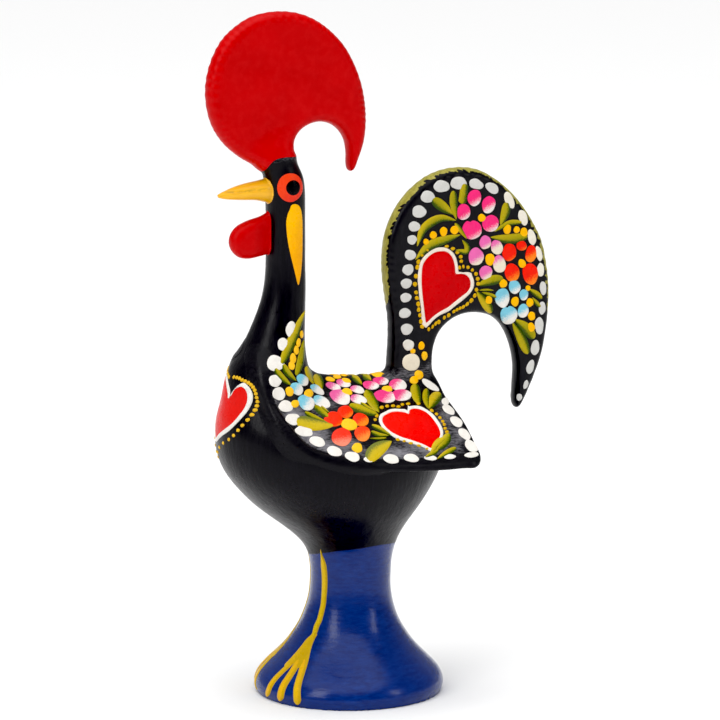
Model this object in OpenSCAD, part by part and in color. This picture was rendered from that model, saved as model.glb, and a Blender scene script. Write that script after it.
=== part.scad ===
// Painted clay rooster on a thrown foot.
// Millimetres, +Z up. The origin is the centre of the ring the foot stands on.
// The bird faces -X, its left side is -Y, and y = 0 is the plane its two body halves meet on.

/* [Foot] */
// Largest radius of the foot, just above the ring it stands on
foot_r = 34.4; // [32:0.2:37]
// Wall of the thrown foot
foot_wall = 5; // [4:0.5:6]
// Outer radius of the spigot that plugs into the body
spigot_r = 11.5; // [10.5:0.5:12]
// Bore through the spigot, which lets air out of the body in the kiln
vent_r = 7; // [5:0.5:8]

/* [Body] */
// Wall of the pressed body halves
wall = 5; // [4:0.5:6]
// Clay left between the hollow of the body and the wings above it
deck = 4; // [3.5:0.5:5]

/* [Wings] */
// Thickness of each wing slab at the ridge of the back
wing_t = 4.4; // [3.6:0.2:5]
// Thickness of the wing's lip
lip_t = 3.5; // [3:0.1:4]

/* [Comb and tail] */
// Thickness of the comb at its middle
comb_t = 8; // [6:0.5:9]
// Thickness of the tail at its middle
tail_t = 8; // [6:0.5:9]

/* [Luted joints] */
// Thickness of the tongues that the comb, tail and wattle are set in with
tongue_t = 4; // [3:0.5:4.5]
// Radius of the peg behind the beak
peg_r = 2; // [1.5:0.25:2.25]
// Room for slip clay round every spigot, tongue and peg
slip = 0.2; // [0.15:0.05:0.3]

/* [Hidden] */
joint_z = 48;        // the foot meets the body here
spigot_h = 9;
NR = 44;             // points round a body section

// ---- curves through hand-set rows ------------------------------------------
// one step of a Catmull-Rom curve through the rows a, b, c, d
function cr(a, b, c, d, t) =
    0.5 * (2 * b + (c - a) * t + (2 * a - 5 * b + 4 * c - d) * t * t
           + (3 * b - a - 3 * c + d) * t * t * t);
// the rows of a table, with k steps from each to the next
function smooth(T, k) = [
    for (i = [0 : len(T) - 2], j = [0 : k - 1])
        cr(T[max(i - 1, 0)], T[i], T[i + 1], T[min(i + 2, len(T) - 1)], j / k),
    T[len(T) - 1]];
function unit(v) = v / norm(v);

// a closed solid through rings that have the same number of points
module loft(rings) {
    n = len(rings[0]);
    m = len(rings);
    polyhedron(
        points = [for (r = rings, p = r) p],
        faces = concat(
            [for (i = [0 : m - 2], j = [0 : n - 1]) [i * n + j, i * n + (j + 1) % n, (i + 1) * n + (j + 1) % n]],
            [for (i = [0 : m - 2], j = [0 : n - 1]) [i * n + j, (i + 1) * n + (j + 1) % n, (i + 1) * n + j]],
            [for (j = [1 : n - 2]) [0, j + 1, j]],
            [for (j = [1 : n - 2]) [(m - 1) * n, (m - 1) * n + j, (m - 1) * n + j + 1]]),
        convexity = 8);
}

// ---- the body: oval sections ------------------------------------------------
// height, front, rear, half width
BULB = [
    [48, -14.1, 15.6, 14.7], [52, -15.1, 16.3, 15.4], [56, -17.2, 17.2, 17],
    [60, -21.3, 18.9, 19.8], [64, -26.2, 21.6, 23], [68, -31.6, 24.5, 26.2],
    [72, -36.2, 27.6, 28.8], [76, -40.3, 30.4, 31], [80, -43.9, 32.8, 32.3],
    [84, -46.6, 34.6, 33.1], [88, -48.5, 35.6, 33.2], [92, -49.7, 35.8, 32.8],
    [96, -50, 34.8, 31.8], [100, -50.1, 32.4, 30.2], [104, -49.8, 29, 27.8],
    [108, -49.1, 24.6, 25], [112, -48.2, 19, 22.2], [116, -47, 12, 19.4],
    [119, -45.8, 3, 17], [122, -44.3, -10, 14.6]];
NECK = [
    [102, -40, -13, 12], [108, -42.2, -13.6, 13.4], [114, -43.4, -14.6, 14.4],
    [118, -44.8, -15.6, 14.6], [122, -44.3, -17.2, 14.1], [126, -42.8, -17.9, 13],
    [130, -41, -18.2, 11.6], [134, -39, -18.2, 10.3], [138, -37.2, -18, 9.3],
    [142, -35.4, -17.8, 8.6], [146, -34, -17.8, 8], [152, -32.7, -17.7, 7.4],
    [158, -32.1, -17.7, 7.1], [166, -31.9, -17.9, 7.1], [174, -31.9, -18.1, 7.3],
    [181, -31.9, -18.3, 7.6], [187, -32.2, -18.6, 7.6], [192, -32.8, -19.6, 7],
    [196, -33.1, -20.9, 6.4], [201, -33, -22.5, 6]];

// the section of a row, drawn in by `d`
function oval(r, d = 0) = let (xc = (r[1] + r[2]) / 2, a = (r[2] - r[1]) / 2 - d, b = r[3] - d)
    [for (j = [0 : NR - 1]) [xc + a * cos(360 * j / NR), b * sin(360 * j / NR), r[0]]];
// a chain of slices, one from each section to the next
module chain(T, d = 0) {
    for (i = [0 : len(T) - 2]) hull() loft([oval(T[i], d), oval(T[i + 1], d)]);
}

// ---- the back: one wing is a slab hung from the ridge ------------------------
// ridge x, ridge z, lip x, lip half width, lip z
ROOF = [
    [-31, 125.5, -38.6, 12.5, 119], [-25, 123, -37.8, 16.4, 112.4], [-20, 121.2, -34.8, 21.8, 105],
    [-15, 119.2, -28.2, 26.8, 97.6], [-9, 117.4, -20.5, 29.6, 94.4], [-2, 116.4, -11, 31.6, 92],
    [6, 116, 1, 32.6, 90.8], [14, 115.6, 13, 32.8, 90], [22, 115, 24, 32.8, 89.6],
    [28, 114.2, 31, 32.8, 89.3], [33, 112.8, 35.4, 32.8, 89]];
ROWS = smooth(ROOF, 2);
TS = [0, 0.16, 0.33, 0.5, 0.66, 0.8, 0.92, 1];
function lerp(a, b, t) = a + (b - a) * t;
// a point of the back's upper face, t from the ridge to the lip
function top(r, t) = [lerp(r[0], r[2], t), r[3] * t, r[1] - (r[1] - r[4]) * (0.7 * t + 0.3 * pow(t, 4))];
// its slope square to the ridge
function fall(r, t) = let (s = (r[1] - r[4]) * (0.7 + 1.2 * pow(t, 3)) / r[3]) unit([0, s, 1]);
// a point of the lower face
function low(r, t) = t == 0 ? top(r, 0) - [0, 0, wing_t * 1.13]
    : top(r, t) - fall(r, t) * lerp(wing_t, lip_t, t);
function lip(r, a) = let (n = fall(r, 1), o = [0, n[2], -n[1]])
    top(r, 1) - n * lip_t / 2 + (n * sin(a) + o * cos(a)) * lip_t / 2;
function wing_ring(r) = concat([for (t = TS) top(r, t)], [for (a = [60, 30, 0, -30, -60]) lip(r, a)],
    [for (i = [len(TS) - 1 : -1 : 0]) low(r, TS[i])]);
// closes the ring of a slab with strips, because it isn't convex
module wing_slab() {
    rings = [for (r = ROWS) wing_ring(r)];
    n = len(rings[0]);
    m = len(rings);
    k = len(TS);
    polyhedron(
        points = [for (r = rings, p = r) p],
        faces = concat(
            [for (i = [0 : m - 2], j = [0 : n - 1]) [i * n + j, i * n + (j + 1) % n, (i + 1) * n + (j + 1) % n]],
            [for (i = [0 : m - 2], j = [0 : n - 1]) [i * n + j, (i + 1) * n + (j + 1) % n, (i + 1) * n + j]],
            [for (e = [0, (m - 1) * n], j = [0 : k - 2], h = [0, 1])
                let (a = e + j, b = e + j + 1, c = e + n - 2 - j, d = e + n - 1 - j)
                (e == 0) ? (h == 0 ? [a, d, b] : [b, d, c]) : (h == 0 ? [a, b, d] : [b, c, d])],
            [for (e = [0, (m - 1) * n], j = [k : n - k - 2])
                (e == 0) ? [e + k - 1, e + j + 1, e + j] : [e + k - 1, e + j, e + j + 1]],
            [for (e = [0, (m - 1) * n])
                (e == 0) ? [e + k - 1, e + n - k, e + n - k - 1] : [e + k - 1, e + n - k - 1, e + n - k]]),
        convexity = 8);
}
// everything above the wings' lower face, lowered by `dz`, as one block
function under(r, t) = t <= 1 ? low(r, t) : low(r, 1) + [0, t - 1, 0];
module above_wings(dz = 0) {
    US = [0, 0.16, 0.33, 0.5, 0.66, 0.8, 0.92, 1, 9];
    rr = concat([ROWS[0] + [-0.2, 0, -0.2, 0, 0]], ROWS,
        [ROWS[len(ROWS) - 1] + [14, -1, 14, 0, 0]]);
    for (s = [1, -1], i = [0 : len(rr) - 2], j = [0 : len(US) - 2]) hull() {
        loft([
            let (p = under(rr[i], US[j]), q = under(rr[i], US[j + 1]))
                [for (v = [p, q, [q[0], q[1], 150], [p[0], p[1], 150]]) [v[0], s * v[1], v[2] - (v[2] < 149 ? dz : 0)]],
            let (p = under(rr[i + 1], US[j]), q = under(rr[i + 1], US[j + 1]))
                [for (v = [p, q, [q[0], q[1], 150], [p[0], p[1], 150]]) [v[0], s * v[1], v[2] - (v[2] < 149 ? dz : 0)]]]);
    }
}
module both_slabs() { wing_slab(); mirror([0, 1, 0]) wing_slab(); }

// ---- the slabs: sections across a plate with rounded edges -------------------
function plate_ring(r, t) = let (p = [r[0], r[1]], q = [r[2], r[3]], L = norm(q - p), d = (q - p) / L,
        h = t * r[4] / 2, e = min(h * 0.9, L * 0.47))
    [for (w = [0, 1], s = [-1, 1], a = (s < 0) ? [90, 60, 30, 0] : [0, 30, 60, 90])
        let (along = e * (1 - cos(a)), side = (h - e + e * sin(a)) * s * (w == 0 ? 1 : -1),
             c = (w == 0) ? p + d * along : q - d * along) [c[0], side, c[1]]];
module plate(T, t) { loft([for (r = smooth(T, 2)) plate_ring(r, t)]); }

// outer edge x z, inner edge x z, part of the full thickness
TAIL = [
    [16, 108, 33.5, 108, 1.1], [16, 118, 33, 118, 1.05], [15.8, 128, 34.6, 128.6, 1], [14.4, 143, 37.6, 132.4, 1],
    [13, 157, 41.5, 134.7, 1], [14.4, 170, 46, 136.1, 1], [21.5, 181.5, 50, 136.3, 1],
    [32, 188, 53, 136, 1], [45, 189.8, 55.5, 135.4, 1], [57.5, 186, 58, 134.5, 1],
    [68, 177, 60.5, 132.6, 1], [75.5, 166.5, 62.7, 130.3, 1], [79.5, 153.5, 64.4, 127.2, 1],
    [80.5, 142, 65.7, 123, 1], [80, 131, 66.5, 118, 0.98], [78, 120.5, 66.7, 113, 0.94],
    [74.8, 111.5, 66.4, 108, 0.88], [71.2, 104, 66.1, 103.4, 0.8], [69.4, 100.4, 66.2, 100.8, 0.6]];
COMB = [
    [-33.4, 193.4, -21.4, 197.8, 1.6], [-38.2, 196.3, -21.9, 199, 1.42], [-44, 199.8, -22, 200.8, 1.15], [-49.6, 205, -21.9, 202.6, 1.02],
    [-53.9, 213, -21.3, 204.4, 1], [-55.5, 223.5, -20.3, 206.2, 1], [-53, 234.5, -18.6, 207.9, 1],
    [-47, 243, -16.6, 209.2, 1], [-38.5, 248.4, -14.5, 210, 1], [-28, 250, -12, 210.3, 1],
    [-17.5, 248.4, -9.4, 210, 1], [-8.5, 243.3, -7.2, 209.2, 1], [-1.5, 236.4, -5.1, 207.9, 1],
    [3, 229, -3.4, 206.2, 1], [5.8, 220, -2.2, 204.2, 1], [6.6, 211, -1.3, 201.8, 0.98],
    [6.1, 203.5, -0.8, 199, 0.92], [4.4, 197, -0.6, 195.9, 0.82], [2.2, 193, -0.6, 193.6, 0.6]];
WATTLE = [
    [-30, 164.4, -30, 179.3, 1], [-34, 162.9, -34, 177.4, 1], [-37.4, 162.4, -37.4, 176.3, 1], [-40.8, 162.1, -40.8, 175.2, 1],
    [-43.8, 163.1, -43.8, 173.8, 0.92], [-45.8, 165.3, -45.8, 171.6, 0.76], [-46.9, 167.5, -46.9, 169.5, 0.5]];
// x, middle z, half height, half width
BEAK = [
    [-29, 186.7, 5.6, 6], [-32.6, 186.3, 4.5, 4.9], [-36.5, 186.2, 3.6, 4], [-41, 186.2, 3, 3.3],
    [-45.5, 185.8, 2.2, 2.4], [-49, 185.4, 1.3, 1.5], [-50.7, 185.2, 0.6, 0.7]];

// ---- what is cut out of the body for the other pieces ------------------------
// the tongue under the comb, and the peg and tongues behind the other pieces, grown by `g`
module comb_tongue(g = 0) {
    translate([-30.5 - g, -tongue_t / 2 - g, 186 - g]) cube([7 + 2 * g, tongue_t + 2 * g, 11 + g]);
}
module tail_tongue(g = 0) {
    translate([19.5 - g, -tongue_t / 2 - g, 104 - g]) cube([9.5 + 2 * g, tongue_t + 2 * g, 16 + g]);
}
module wattle_tongue(g = 0) {
    translate([-34, -tongue_t / 2 + 0.5 - g, 167.5 - g]) cube([7 + g, tongue_t - 1 + 2 * g, 7 + 2 * g]);
}
module beak_peg(g = 0) {
    translate([-34, 0, 186.4]) rotate([0, 90, 0]) cylinder(r = peg_r + g, h = (g > 0 ? 8.2 : 8), $fn = 24);
}
// the slanting seat that the comb stands on
module above_head() {
    translate([-27.4, 0, 195.6]) rotate([0, -20.1, 0]) translate([-20, -20, 0]) cube([40, 40, 30]);
}
// the bird without its limbs
module trunk() {
    difference() {
        union() {
            difference() { chain(BULB); above_wings(); }
            chain(NECK);
        }
        above_head();
    }
}
HOLLOW = [for (r = BULB) if (r[0] >= 60) r];
module hollow() {
    difference() {
        chain(HOLLOW, wall);
        above_wings(deck);
    }
    translate([0, 0, joint_z + spigot_h]) cylinder(r = vent_r, h = 8, $fn = 32);
}
module body() {
    difference() {
        trunk();
        hollow();
        translate([0, 0, joint_z - 1]) cylinder(r = spigot_r + slip, h = spigot_h + 1 + slip, $fn = 64);
        comb_tongue(slip);
        tail_tongue(slip);
        wattle_tongue(slip);
        beak_peg(slip);
    }
}

// ---- pieces -------------------------------------------------------------------
// hollow flared foot, thrown on the wheel, open below
// outer radius as a part of foot_r, height
FOOT = [[0.97, 0], [0.99, 1], [1, 2.6], [0.998, 4.2], [0.978, 6.2], [0.938, 8.4], [0.852, 11.4],
        [0.762, 14.4], [0.684, 17.4], [0.617, 20.6], [0.548, 24.4], [0.494, 28.4], [0.456, 32.4],
        [0.433, 36.4], [0.421, 40.4], [0.421, 44.4], [0.426, 48]];
module foot() {
    color([0.11, 0.2, 0.5])
    rotate_extrude($fn = 96)
    polygon(concat(
        [for (p = FOOT) [foot_r * p[0], p[1]]],
        [[spigot_r, joint_z], [spigot_r, joint_z + spigot_h - 1], [spigot_r - 1, joint_z + spigot_h], [vent_r, joint_z + spigot_h],
         [vent_r, 38]],
        [for (i = [12 : -1 : 5]) [max(foot_r * FOOT[i][0] - foot_wall, vent_r), FOOT[i][1]]],
        [[foot_r * 0.978 - foot_wall + 0.6, 4], [foot_r * 0.97 - foot_wall + 1, 0]]));
}

module body_left_shell() {
    color([0.07, 0.07, 0.09]) difference() { body(); translate([-90, 0, 0]) cube([180, 90, 260]); }
}
module body_right_shell() {
    color([0.07, 0.07, 0.09]) difference() { body(); translate([-90, -90, 0]) cube([180, 90, 260]); }
}

// one wing, fitted round the neck and slotted for the tail
module wing() {
    color([0.1, 0.1, 0.12]) difference() {
        wing_slab();
        chain(NECK);
        tail_tongue(slip);
    }
}
module right_wing() { wing(); }
module left_wing() { mirror([0, 1, 0]) wing(); }

module tail() {
    color([0.09, 0.1, 0.1]) {
        difference() {
            plate(TAIL, tail_t);
            both_slabs();
            above_wings_floor();
        }
        tail_tongue();
    }
}
// everything below the wings' lower face, which the tail stands clear of
module above_wings_floor() {
    chain([for (r = BULB) if (r[0] >= 76) r]);
    translate([10, -20, 90]) cube([30, 40, 19]);
}

module comb() {
    color([0.78, 0.03, 0.04]) { plate(COMB, comb_t); comb_tongue(); }
}

module beak() {
    color([0.95, 0.68, 0.1]) {
        difference() {
            loft([for (r = smooth(BEAK, 2)) [for (j = [0 : 23])
                [r[0], r[3] * sin(-15 * j), r[1] + r[2] * cos(15 * j)]]]);
            chain(NECK);
        }
        beak_peg();
    }
}

module wattle() {
    color([0.78, 0.03, 0.04]) {
        difference() { plate(WATTLE, 6.4); chain(NECK); }
        wattle_tongue();
    }
}

foot();
body_left_shell();
body_right_shell();
left_wing();
right_wing();
tail();
comb();
beak();
wattle();
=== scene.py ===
"""Looks of a painted clay rooster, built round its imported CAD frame.

Every piece is meshed from the same smooth form, written below as distance fields in millimetres in the part's own
frame (+Z up, the bird faces -X, its left side is -Y), so neighbouring pieces meet without a step. The painted
pattern is thin raised enamel, draped on that form.
"""

import math

import bpy
import numpy as np
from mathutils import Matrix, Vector
from mathutils.geometry import delaunay_2d_cdt


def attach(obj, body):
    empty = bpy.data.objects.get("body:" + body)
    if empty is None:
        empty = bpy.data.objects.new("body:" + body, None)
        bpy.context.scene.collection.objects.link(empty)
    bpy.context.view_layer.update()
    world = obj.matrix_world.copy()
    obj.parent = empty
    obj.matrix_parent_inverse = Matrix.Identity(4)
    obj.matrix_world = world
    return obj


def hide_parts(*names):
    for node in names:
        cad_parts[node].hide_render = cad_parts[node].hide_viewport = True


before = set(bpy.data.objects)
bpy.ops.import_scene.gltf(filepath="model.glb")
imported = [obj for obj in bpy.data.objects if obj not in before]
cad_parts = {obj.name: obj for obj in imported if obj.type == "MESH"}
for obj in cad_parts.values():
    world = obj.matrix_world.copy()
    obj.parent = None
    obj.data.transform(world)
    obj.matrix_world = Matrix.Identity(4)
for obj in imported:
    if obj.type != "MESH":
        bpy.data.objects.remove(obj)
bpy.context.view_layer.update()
MM = 0.001

# ------------------------------------------------------------------ camera (mm)
AZ = math.radians(-25.0)
CAM = np.array([1800 * math.sin(AZ), -1800 * math.cos(AZ), 455.0])
AIM = np.array([3.748, -1.748, 122.146])
FOCAL = 5062.5  # pixels, on a picture 720 wide
_f = AIM - CAM
_f /= np.linalg.norm(_f)
_r = np.cross(_f, [0, 0, 1.0])
_r /= np.linalg.norm(_r)
_u = np.cross(_r, _f)


def ray(u, v):
    """Directions from the camera through picture points."""
    d = _f + np.multiply.outer((np.asarray(u, float) - 360) / FOCAL, _r) - np.multiply.outer((np.asarray(v, float) - 360) / FOCAL, _u)
    return d / np.linalg.norm(d, axis=-1, keepdims=True)


def seen_at(P):
    """Where points show in the picture."""
    d = np.asarray(P) - CAM
    z = d @ _f
    return 360 + FOCAL * (d @ _r) / z, 360 - FOCAL * (d @ _u) / z


# ------------------------------------------------------------------ small maths
def sstep(a, b, x):
    t = np.clip((x - a) / (b - a), 0, 1)
    return t * t * (3 - 2 * t)


def smin(a, b, k):
    h = np.clip(0.5 + 0.5 * (b - a) / k, 0, 1)
    return b * (1 - h) + a * h - k * h * (1 - h)


def smax(a, b, k):
    return -smin(-a, -b, k)


class Curve1:
    """A natural cubic curve y(x) through rows of values."""

    def __init__(s, x, y):
        x, y = np.asarray(x, float), np.asarray(y, float)
        n = len(x)
        h = np.diff(x)
        A = np.eye(n)
        r = np.zeros(n)
        for i in range(1, n - 1):
            A[i, i - 1], A[i, i], A[i, i + 1] = h[i - 1], 2 * (h[i - 1] + h[i]), h[i]
            r[i] = 6 * ((y[i + 1] - y[i]) / h[i] - (y[i] - y[i - 1]) / h[i - 1])
        s.x, s.y, s.h, s.m = x, y, h, np.linalg.solve(A, r)

    def __call__(s, t):
        t = np.clip(t, s.x[0], s.x[-1])
        i = np.clip(np.searchsorted(s.x, t, side="right") - 1, 0, len(s.x) - 2)
        h = s.h[i]
        a, b = (s.x[i + 1] - t) / h, (t - s.x[i]) / h
        return a * s.y[i] + b * s.y[i + 1] + ((a ** 3 - a) * s.m[i] + (b ** 3 - b) * s.m[i + 1]) * h * h / 6

    def tab(s, n=2048):
        """The same curve and its slope as fast tables."""
        xs = np.linspace(s.x[0], s.x[-1], n)
        ys = s(xs)
        return xs, ys, np.gradient(ys, xs)


def closed_curve(P, per=8):
    """A smooth closed curve through given points."""
    P = np.asarray(P, float)
    m = len(P)
    out = []
    for i in range(m):
        p = [P[(i + j - 1) % m] for j in range(4)]
        t = [0.0]
        for j in range(3):
            t.append(t[-1] + max(np.linalg.norm(p[j + 1] - p[j]), 1e-6) ** 0.5)
        for q in np.linspace(t[1], t[2], per, endpoint=False):
            a = [(t[j + 1] - q) / (t[j + 1] - t[j]) * p[j] + (q - t[j]) / (t[j + 1] - t[j]) * p[j + 1] for j in range(3)]
            b = [(t[j + 2] - q) / (t[j + 2] - t[j]) * a[j] + (q - t[j]) / (t[j + 2] - t[j]) * a[j + 1] for j in range(2)]
            out.append((t[2] - q) / (t[2] - t[1]) * b[0] + (q - t[1]) / (t[2] - t[1]) * b[1])
    return np.array(out)


class Map2:
    """Values on a regular 2-D grid, read back with a smooth cubic patch."""

    def __init__(s, lo, h, v):
        s.lo, s.h, s.v = np.asarray(lo, float), h, v

    def __call__(s, x, y):
        v = s.v
        fx = np.clip((x - s.lo[0]) / s.h, 1, v.shape[0] - 2.001)
        fy = np.clip((y - s.lo[1]) / s.h, 1, v.shape[1] - 2.001)
        i, j = fx.astype(np.int32), fy.astype(np.int32)
        tx, ty = fx - i, fy - j
        i = np.minimum(i, v.shape[0] - 3)
        j = np.minimum(j, v.shape[1] - 3)

        def w(t):
            t2, t3 = t * t, t * t * t
            return (-0.5 * t3 + t2 - 0.5 * t, 1.5 * t3 - 2.5 * t2 + 1, -1.5 * t3 + 2 * t2 + 0.5 * t, 0.5 * t3 - 0.5 * t2)

        wx, wy = w(tx), w(ty)
        flat = v.ravel()
        n = v.shape[1]
        base = (i - 1) * n + (j - 1)
        out = 0.0
        for a in range(4):
            row = base + a * n
            out = out + wx[a] * (wy[0] * flat[row] + wy[1] * flat[row + 1] + wy[2] * flat[row + 2] + wy[3] * flat[row + 3])
        return out


def outline_map(P, h=0.5, pad=9.0, soften=0.7):
    """Distance to a closed outline, negative inside, as a map."""
    lo, hi = P.min(0) - pad, P.max(0) + pad
    nx, ny = (np.ceil((hi - lo) / h).astype(int) + 1)
    X, Y = np.meshgrid(lo[0] + h * np.arange(nx), lo[1] + h * np.arange(ny), indexing="ij")
    X, Y = X.ravel(), Y.ravel()
    best = np.full(X.shape, 1e18)
    inside = np.zeros(X.shape, bool)
    for (ax, ay), (bx, by) in zip(P, np.roll(P, -1, axis=0)):
        ex, ey = bx - ax, by - ay
        wx, wy = X - ax, Y - ay
        t = np.clip((wx * ex + wy * ey) / max(ex * ex + ey * ey, 1e-12), 0, 1)
        np.minimum(best, (wx - ex * t) ** 2 + (wy - ey * t) ** 2, out=best)
        if by != ay:
            inside ^= ((ay > Y) != (by > Y)) & (X < (bx - ax) * wy / (by - ay) + ax)
    d = np.sqrt(best)
    d = np.where(inside, -d, d).reshape(nx, ny)
    for _ in range(int(round(2 * (soften / h) ** 2))):
        e = np.pad(d, 1, mode="edge")
        d = (e[:-2] + 2 * e[1:-1] + e[2:])[:, 1:-1] / 4
        e = np.pad(d, 1, mode="edge")
        d = (e[:, :-2] + 2 * e[:, 1:-1] + e[:, 2:])[1:-1] / 4
    return Map2(lo, h, d)


def wave(x, y, z, f, seed):
    """Smooth seeded unevenness between about -1 and 1."""
    g = np.random.default_rng(seed)
    out = 0.0
    for _ in range(5):
        k = g.normal(size=3)
        k *= f * g.uniform(0.6, 1.4) / np.linalg.norm(k)
        out = out + np.sin(k[0] * x + k[1] * y + k[2] * z + g.uniform(0, 6.28))
    return out / 3.2


# ------------------------------------------------------------------ the form
# height, front, rear, half width of each oval section: the thrown foot, then the bulb of the body
STEM = [(-3, -33.0, 33.0, 33.0), (0, -33.5, 33.5, 33.5), (2.6, -34.4, 34.4, 34.4), (5, -34.1, 34.3, 34.2), (8.4, -32.1, 32.5, 32.3),
        (11.4, -29.1, 29.6, 29.3), (14.4, -26, 26.6, 26.2), (17.4, -23.2, 23.9, 23.5), (20.6, -20.8, 21.6, 21.2),
        (24.4, -18.4, 19.3, 18.8), (28.4, -16.6, 17.5, 17), (32.4, -15.2, 16.3, 15.7), (36.4, -14.3, 15.5, 14.9),
        (40.4, -13.9, 15.2, 14.5), (44.4, -13.8, 15.3, 14.5), (48, -14.1, 15.5, 14.7), (52, -15.2, 16.2, 15.5),
        (56, -17.6, 17.4, 17.2), (60, -21.6, 19.2, 20), (64, -26.6, 21.7, 23.2), (68, -31.9, 24.6, 26.4),
        (72, -36.6, 27.5, 29), (76, -40.6, 30.2, 31), (80, -44.1, 32.6, 32.4), (84, -46.9, 34.5, 33.1),
        (88, -48.8, 35.5, 33.2), (92, -50, 35.7, 32.8), (96, -50.5, 34.8, 31.8), (100, -50.5, 32.4, 30.2),
        (104, -50.1, 29, 27.8), (108, -49.3, 24.6, 25), (112, -48.3, 19, 22.2), (116, -47, 12, 19.4), (120, -45.2, 3, 16.4),
        (124, -43.4, -8, 13.4)]
NECK = [(100, -39, -13, 12), (108, -42, -13.6, 13.2), (114, -44, -14.8, 14.2), (118, -44.8, -16, 14.5), (122, -44.1, -17.2, 13.9),
        (126, -42.7, -17.9, 12.7), (130, -41, -18.2, 11.4), (134, -39, -18.2, 10.2), (138, -37.2, -18, 9.3),
        (142, -35.5, -17.9, 8.6), (146, -34.1, -17.8, 8), (152, -32.8, -17.7, 7.4), (158, -32.2, -17.8, 7.1),
        (166, -32, -17.8, 7.1), (174, -32, -17.9, 7.3), (181, -32, -17.9, 7.6), (187, -32.4, -18.1, 7.6),
        (191, -32.9, -18.8, 7.2), (195, -33, -20.5, 6.4), (198, -31.8, -22, 5.2), (200.5, -29.5, -24, 3.2)]
STEM_C = [Curve1([r[0] for r in STEM], [r[i] for r in STEM]).tab() for i in (1, 2, 3)]
NECK_C = [Curve1([r[0] for r in NECK], [r[i] for r in NECK]).tab() for i in (1, 2, 3)]


def ovals(C, x, y, z):
    """Distance to a stack of oval sections."""
    xs = C[0][0]
    t = (z - xs[0]) * ((len(xs) - 1) / (xs[-1] - xs[0]))
    t = np.clip(t, 0, len(xs) - 1.001)
    i = t.astype(np.int32)
    f = t - i
    F, R, B = [c[1][i] * (1 - f) + c[1][i + 1] * f for c in C]
    dF, dR, dB = [c[2][i] for c in C]
    a, xc = (R - F) / 2, (R + F) / 2
    u, v = (x - xc) / a, y / B
    q = np.sqrt(u * u + v * v) + 1e-9
    cx, cy = u / q, v / q
    rad = np.where(cx < 0, -dF * np.abs(cx), dR * np.abs(cx)) * np.abs(cx) + dB * cy * cy
    m = np.sqrt((cx / a) ** 2 + (cy / B) ** 2)  # slope of q across the section
    return (q - 1) / m / np.sqrt(1 + rad * rad)


# the back: ridge x, ridge z, lip x, lip half width, lip z
ROOF = [(-31, 125.5, -38.6, 12.5, 119), (-25, 123, -37.8, 16.4, 112.4), (-20, 121.2, -34.8, 21.8, 105),
        (-15, 119.3, -28.2, 26.8, 97.8), (-9, 117.7, -20.5, 29.6, 94.7), (-2, 116.8, -11, 31.6, 92.6),
        (6, 116.4, 1, 32.6, 91.3), (14, 116, 13, 32.8, 90.3), (22, 115.3, 24, 32.8, 89.8),
        (28, 114.3, 31, 32.8, 89.6), (33, 112.8, 35.4, 32.8, 89.4)]


def roof_map():
    """Height of the back's upper face: a thin plate bent through the ROOF rows."""
    P = []
    for r in ROOF:
        for t in (0, 0.25, 0.5, 0.75, 1):
            p = (r[0] + (r[2] - r[0]) * t, r[3] * t, r[1] - (r[1] - r[4]) * (0.7 * t + 0.3 * t ** 4))
            P.append(p)
            if t:
                P.append((p[0], -p[1], p[2]))
    P = np.array(P)
    c = P[:, :2]

    def U(d2):
        return d2 * np.log(d2 + 1e-9)

    n = len(c)
    A = np.zeros((n + 3, n + 3))
    A[:n, :n] = U(((c[:, None] - c[None]) ** 2).sum(-1)) + np.eye(n) * 3.0
    A[:n, n] = A[n, :n] = 1
    A[:n, n + 1:] = c
    A[n + 1:, :n] = c.T
    w = np.linalg.solve(A, np.concatenate([P[:, 2], np.zeros(3)]))
    lo, h = np.array([-62.0, -60.0]), 2.0
    X, Y = np.meshgrid(lo[0] + h * np.arange(62), lo[1] + h * np.arange(61), indexing="ij")
    q = np.stack([X.ravel(), Y.ravel()], 1)
    z = U(((q[:, None] - c[None]) ** 2).sum(-1)) @ w[:n] + w[n] + q @ w[n + 1:]
    return Map2(lo, h, z.reshape(X.shape))


ROOF_Z = roof_map()
_lip = [(r[2], r[3]) for r in ROOF]
PLAN = outline_map(closed_curve([(-33, 0), (-36.4, 7)] + _lip[:-1] + [(34.2, 32.9), (35.9, 31.8), (35.4, 28), (33.9, 16), (32.9, 7), (32.5, 0)]
                                + [(32.9, -7), (33.9, -16), (35.4, -28), (35.9, -31.8), (34.2, -32.9)]
                                + [(a, -b) for a, b in _lip[:-1][::-1]] + [(-36.4, -7)], 6), 0.7, 14.0, 0.6)

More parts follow.
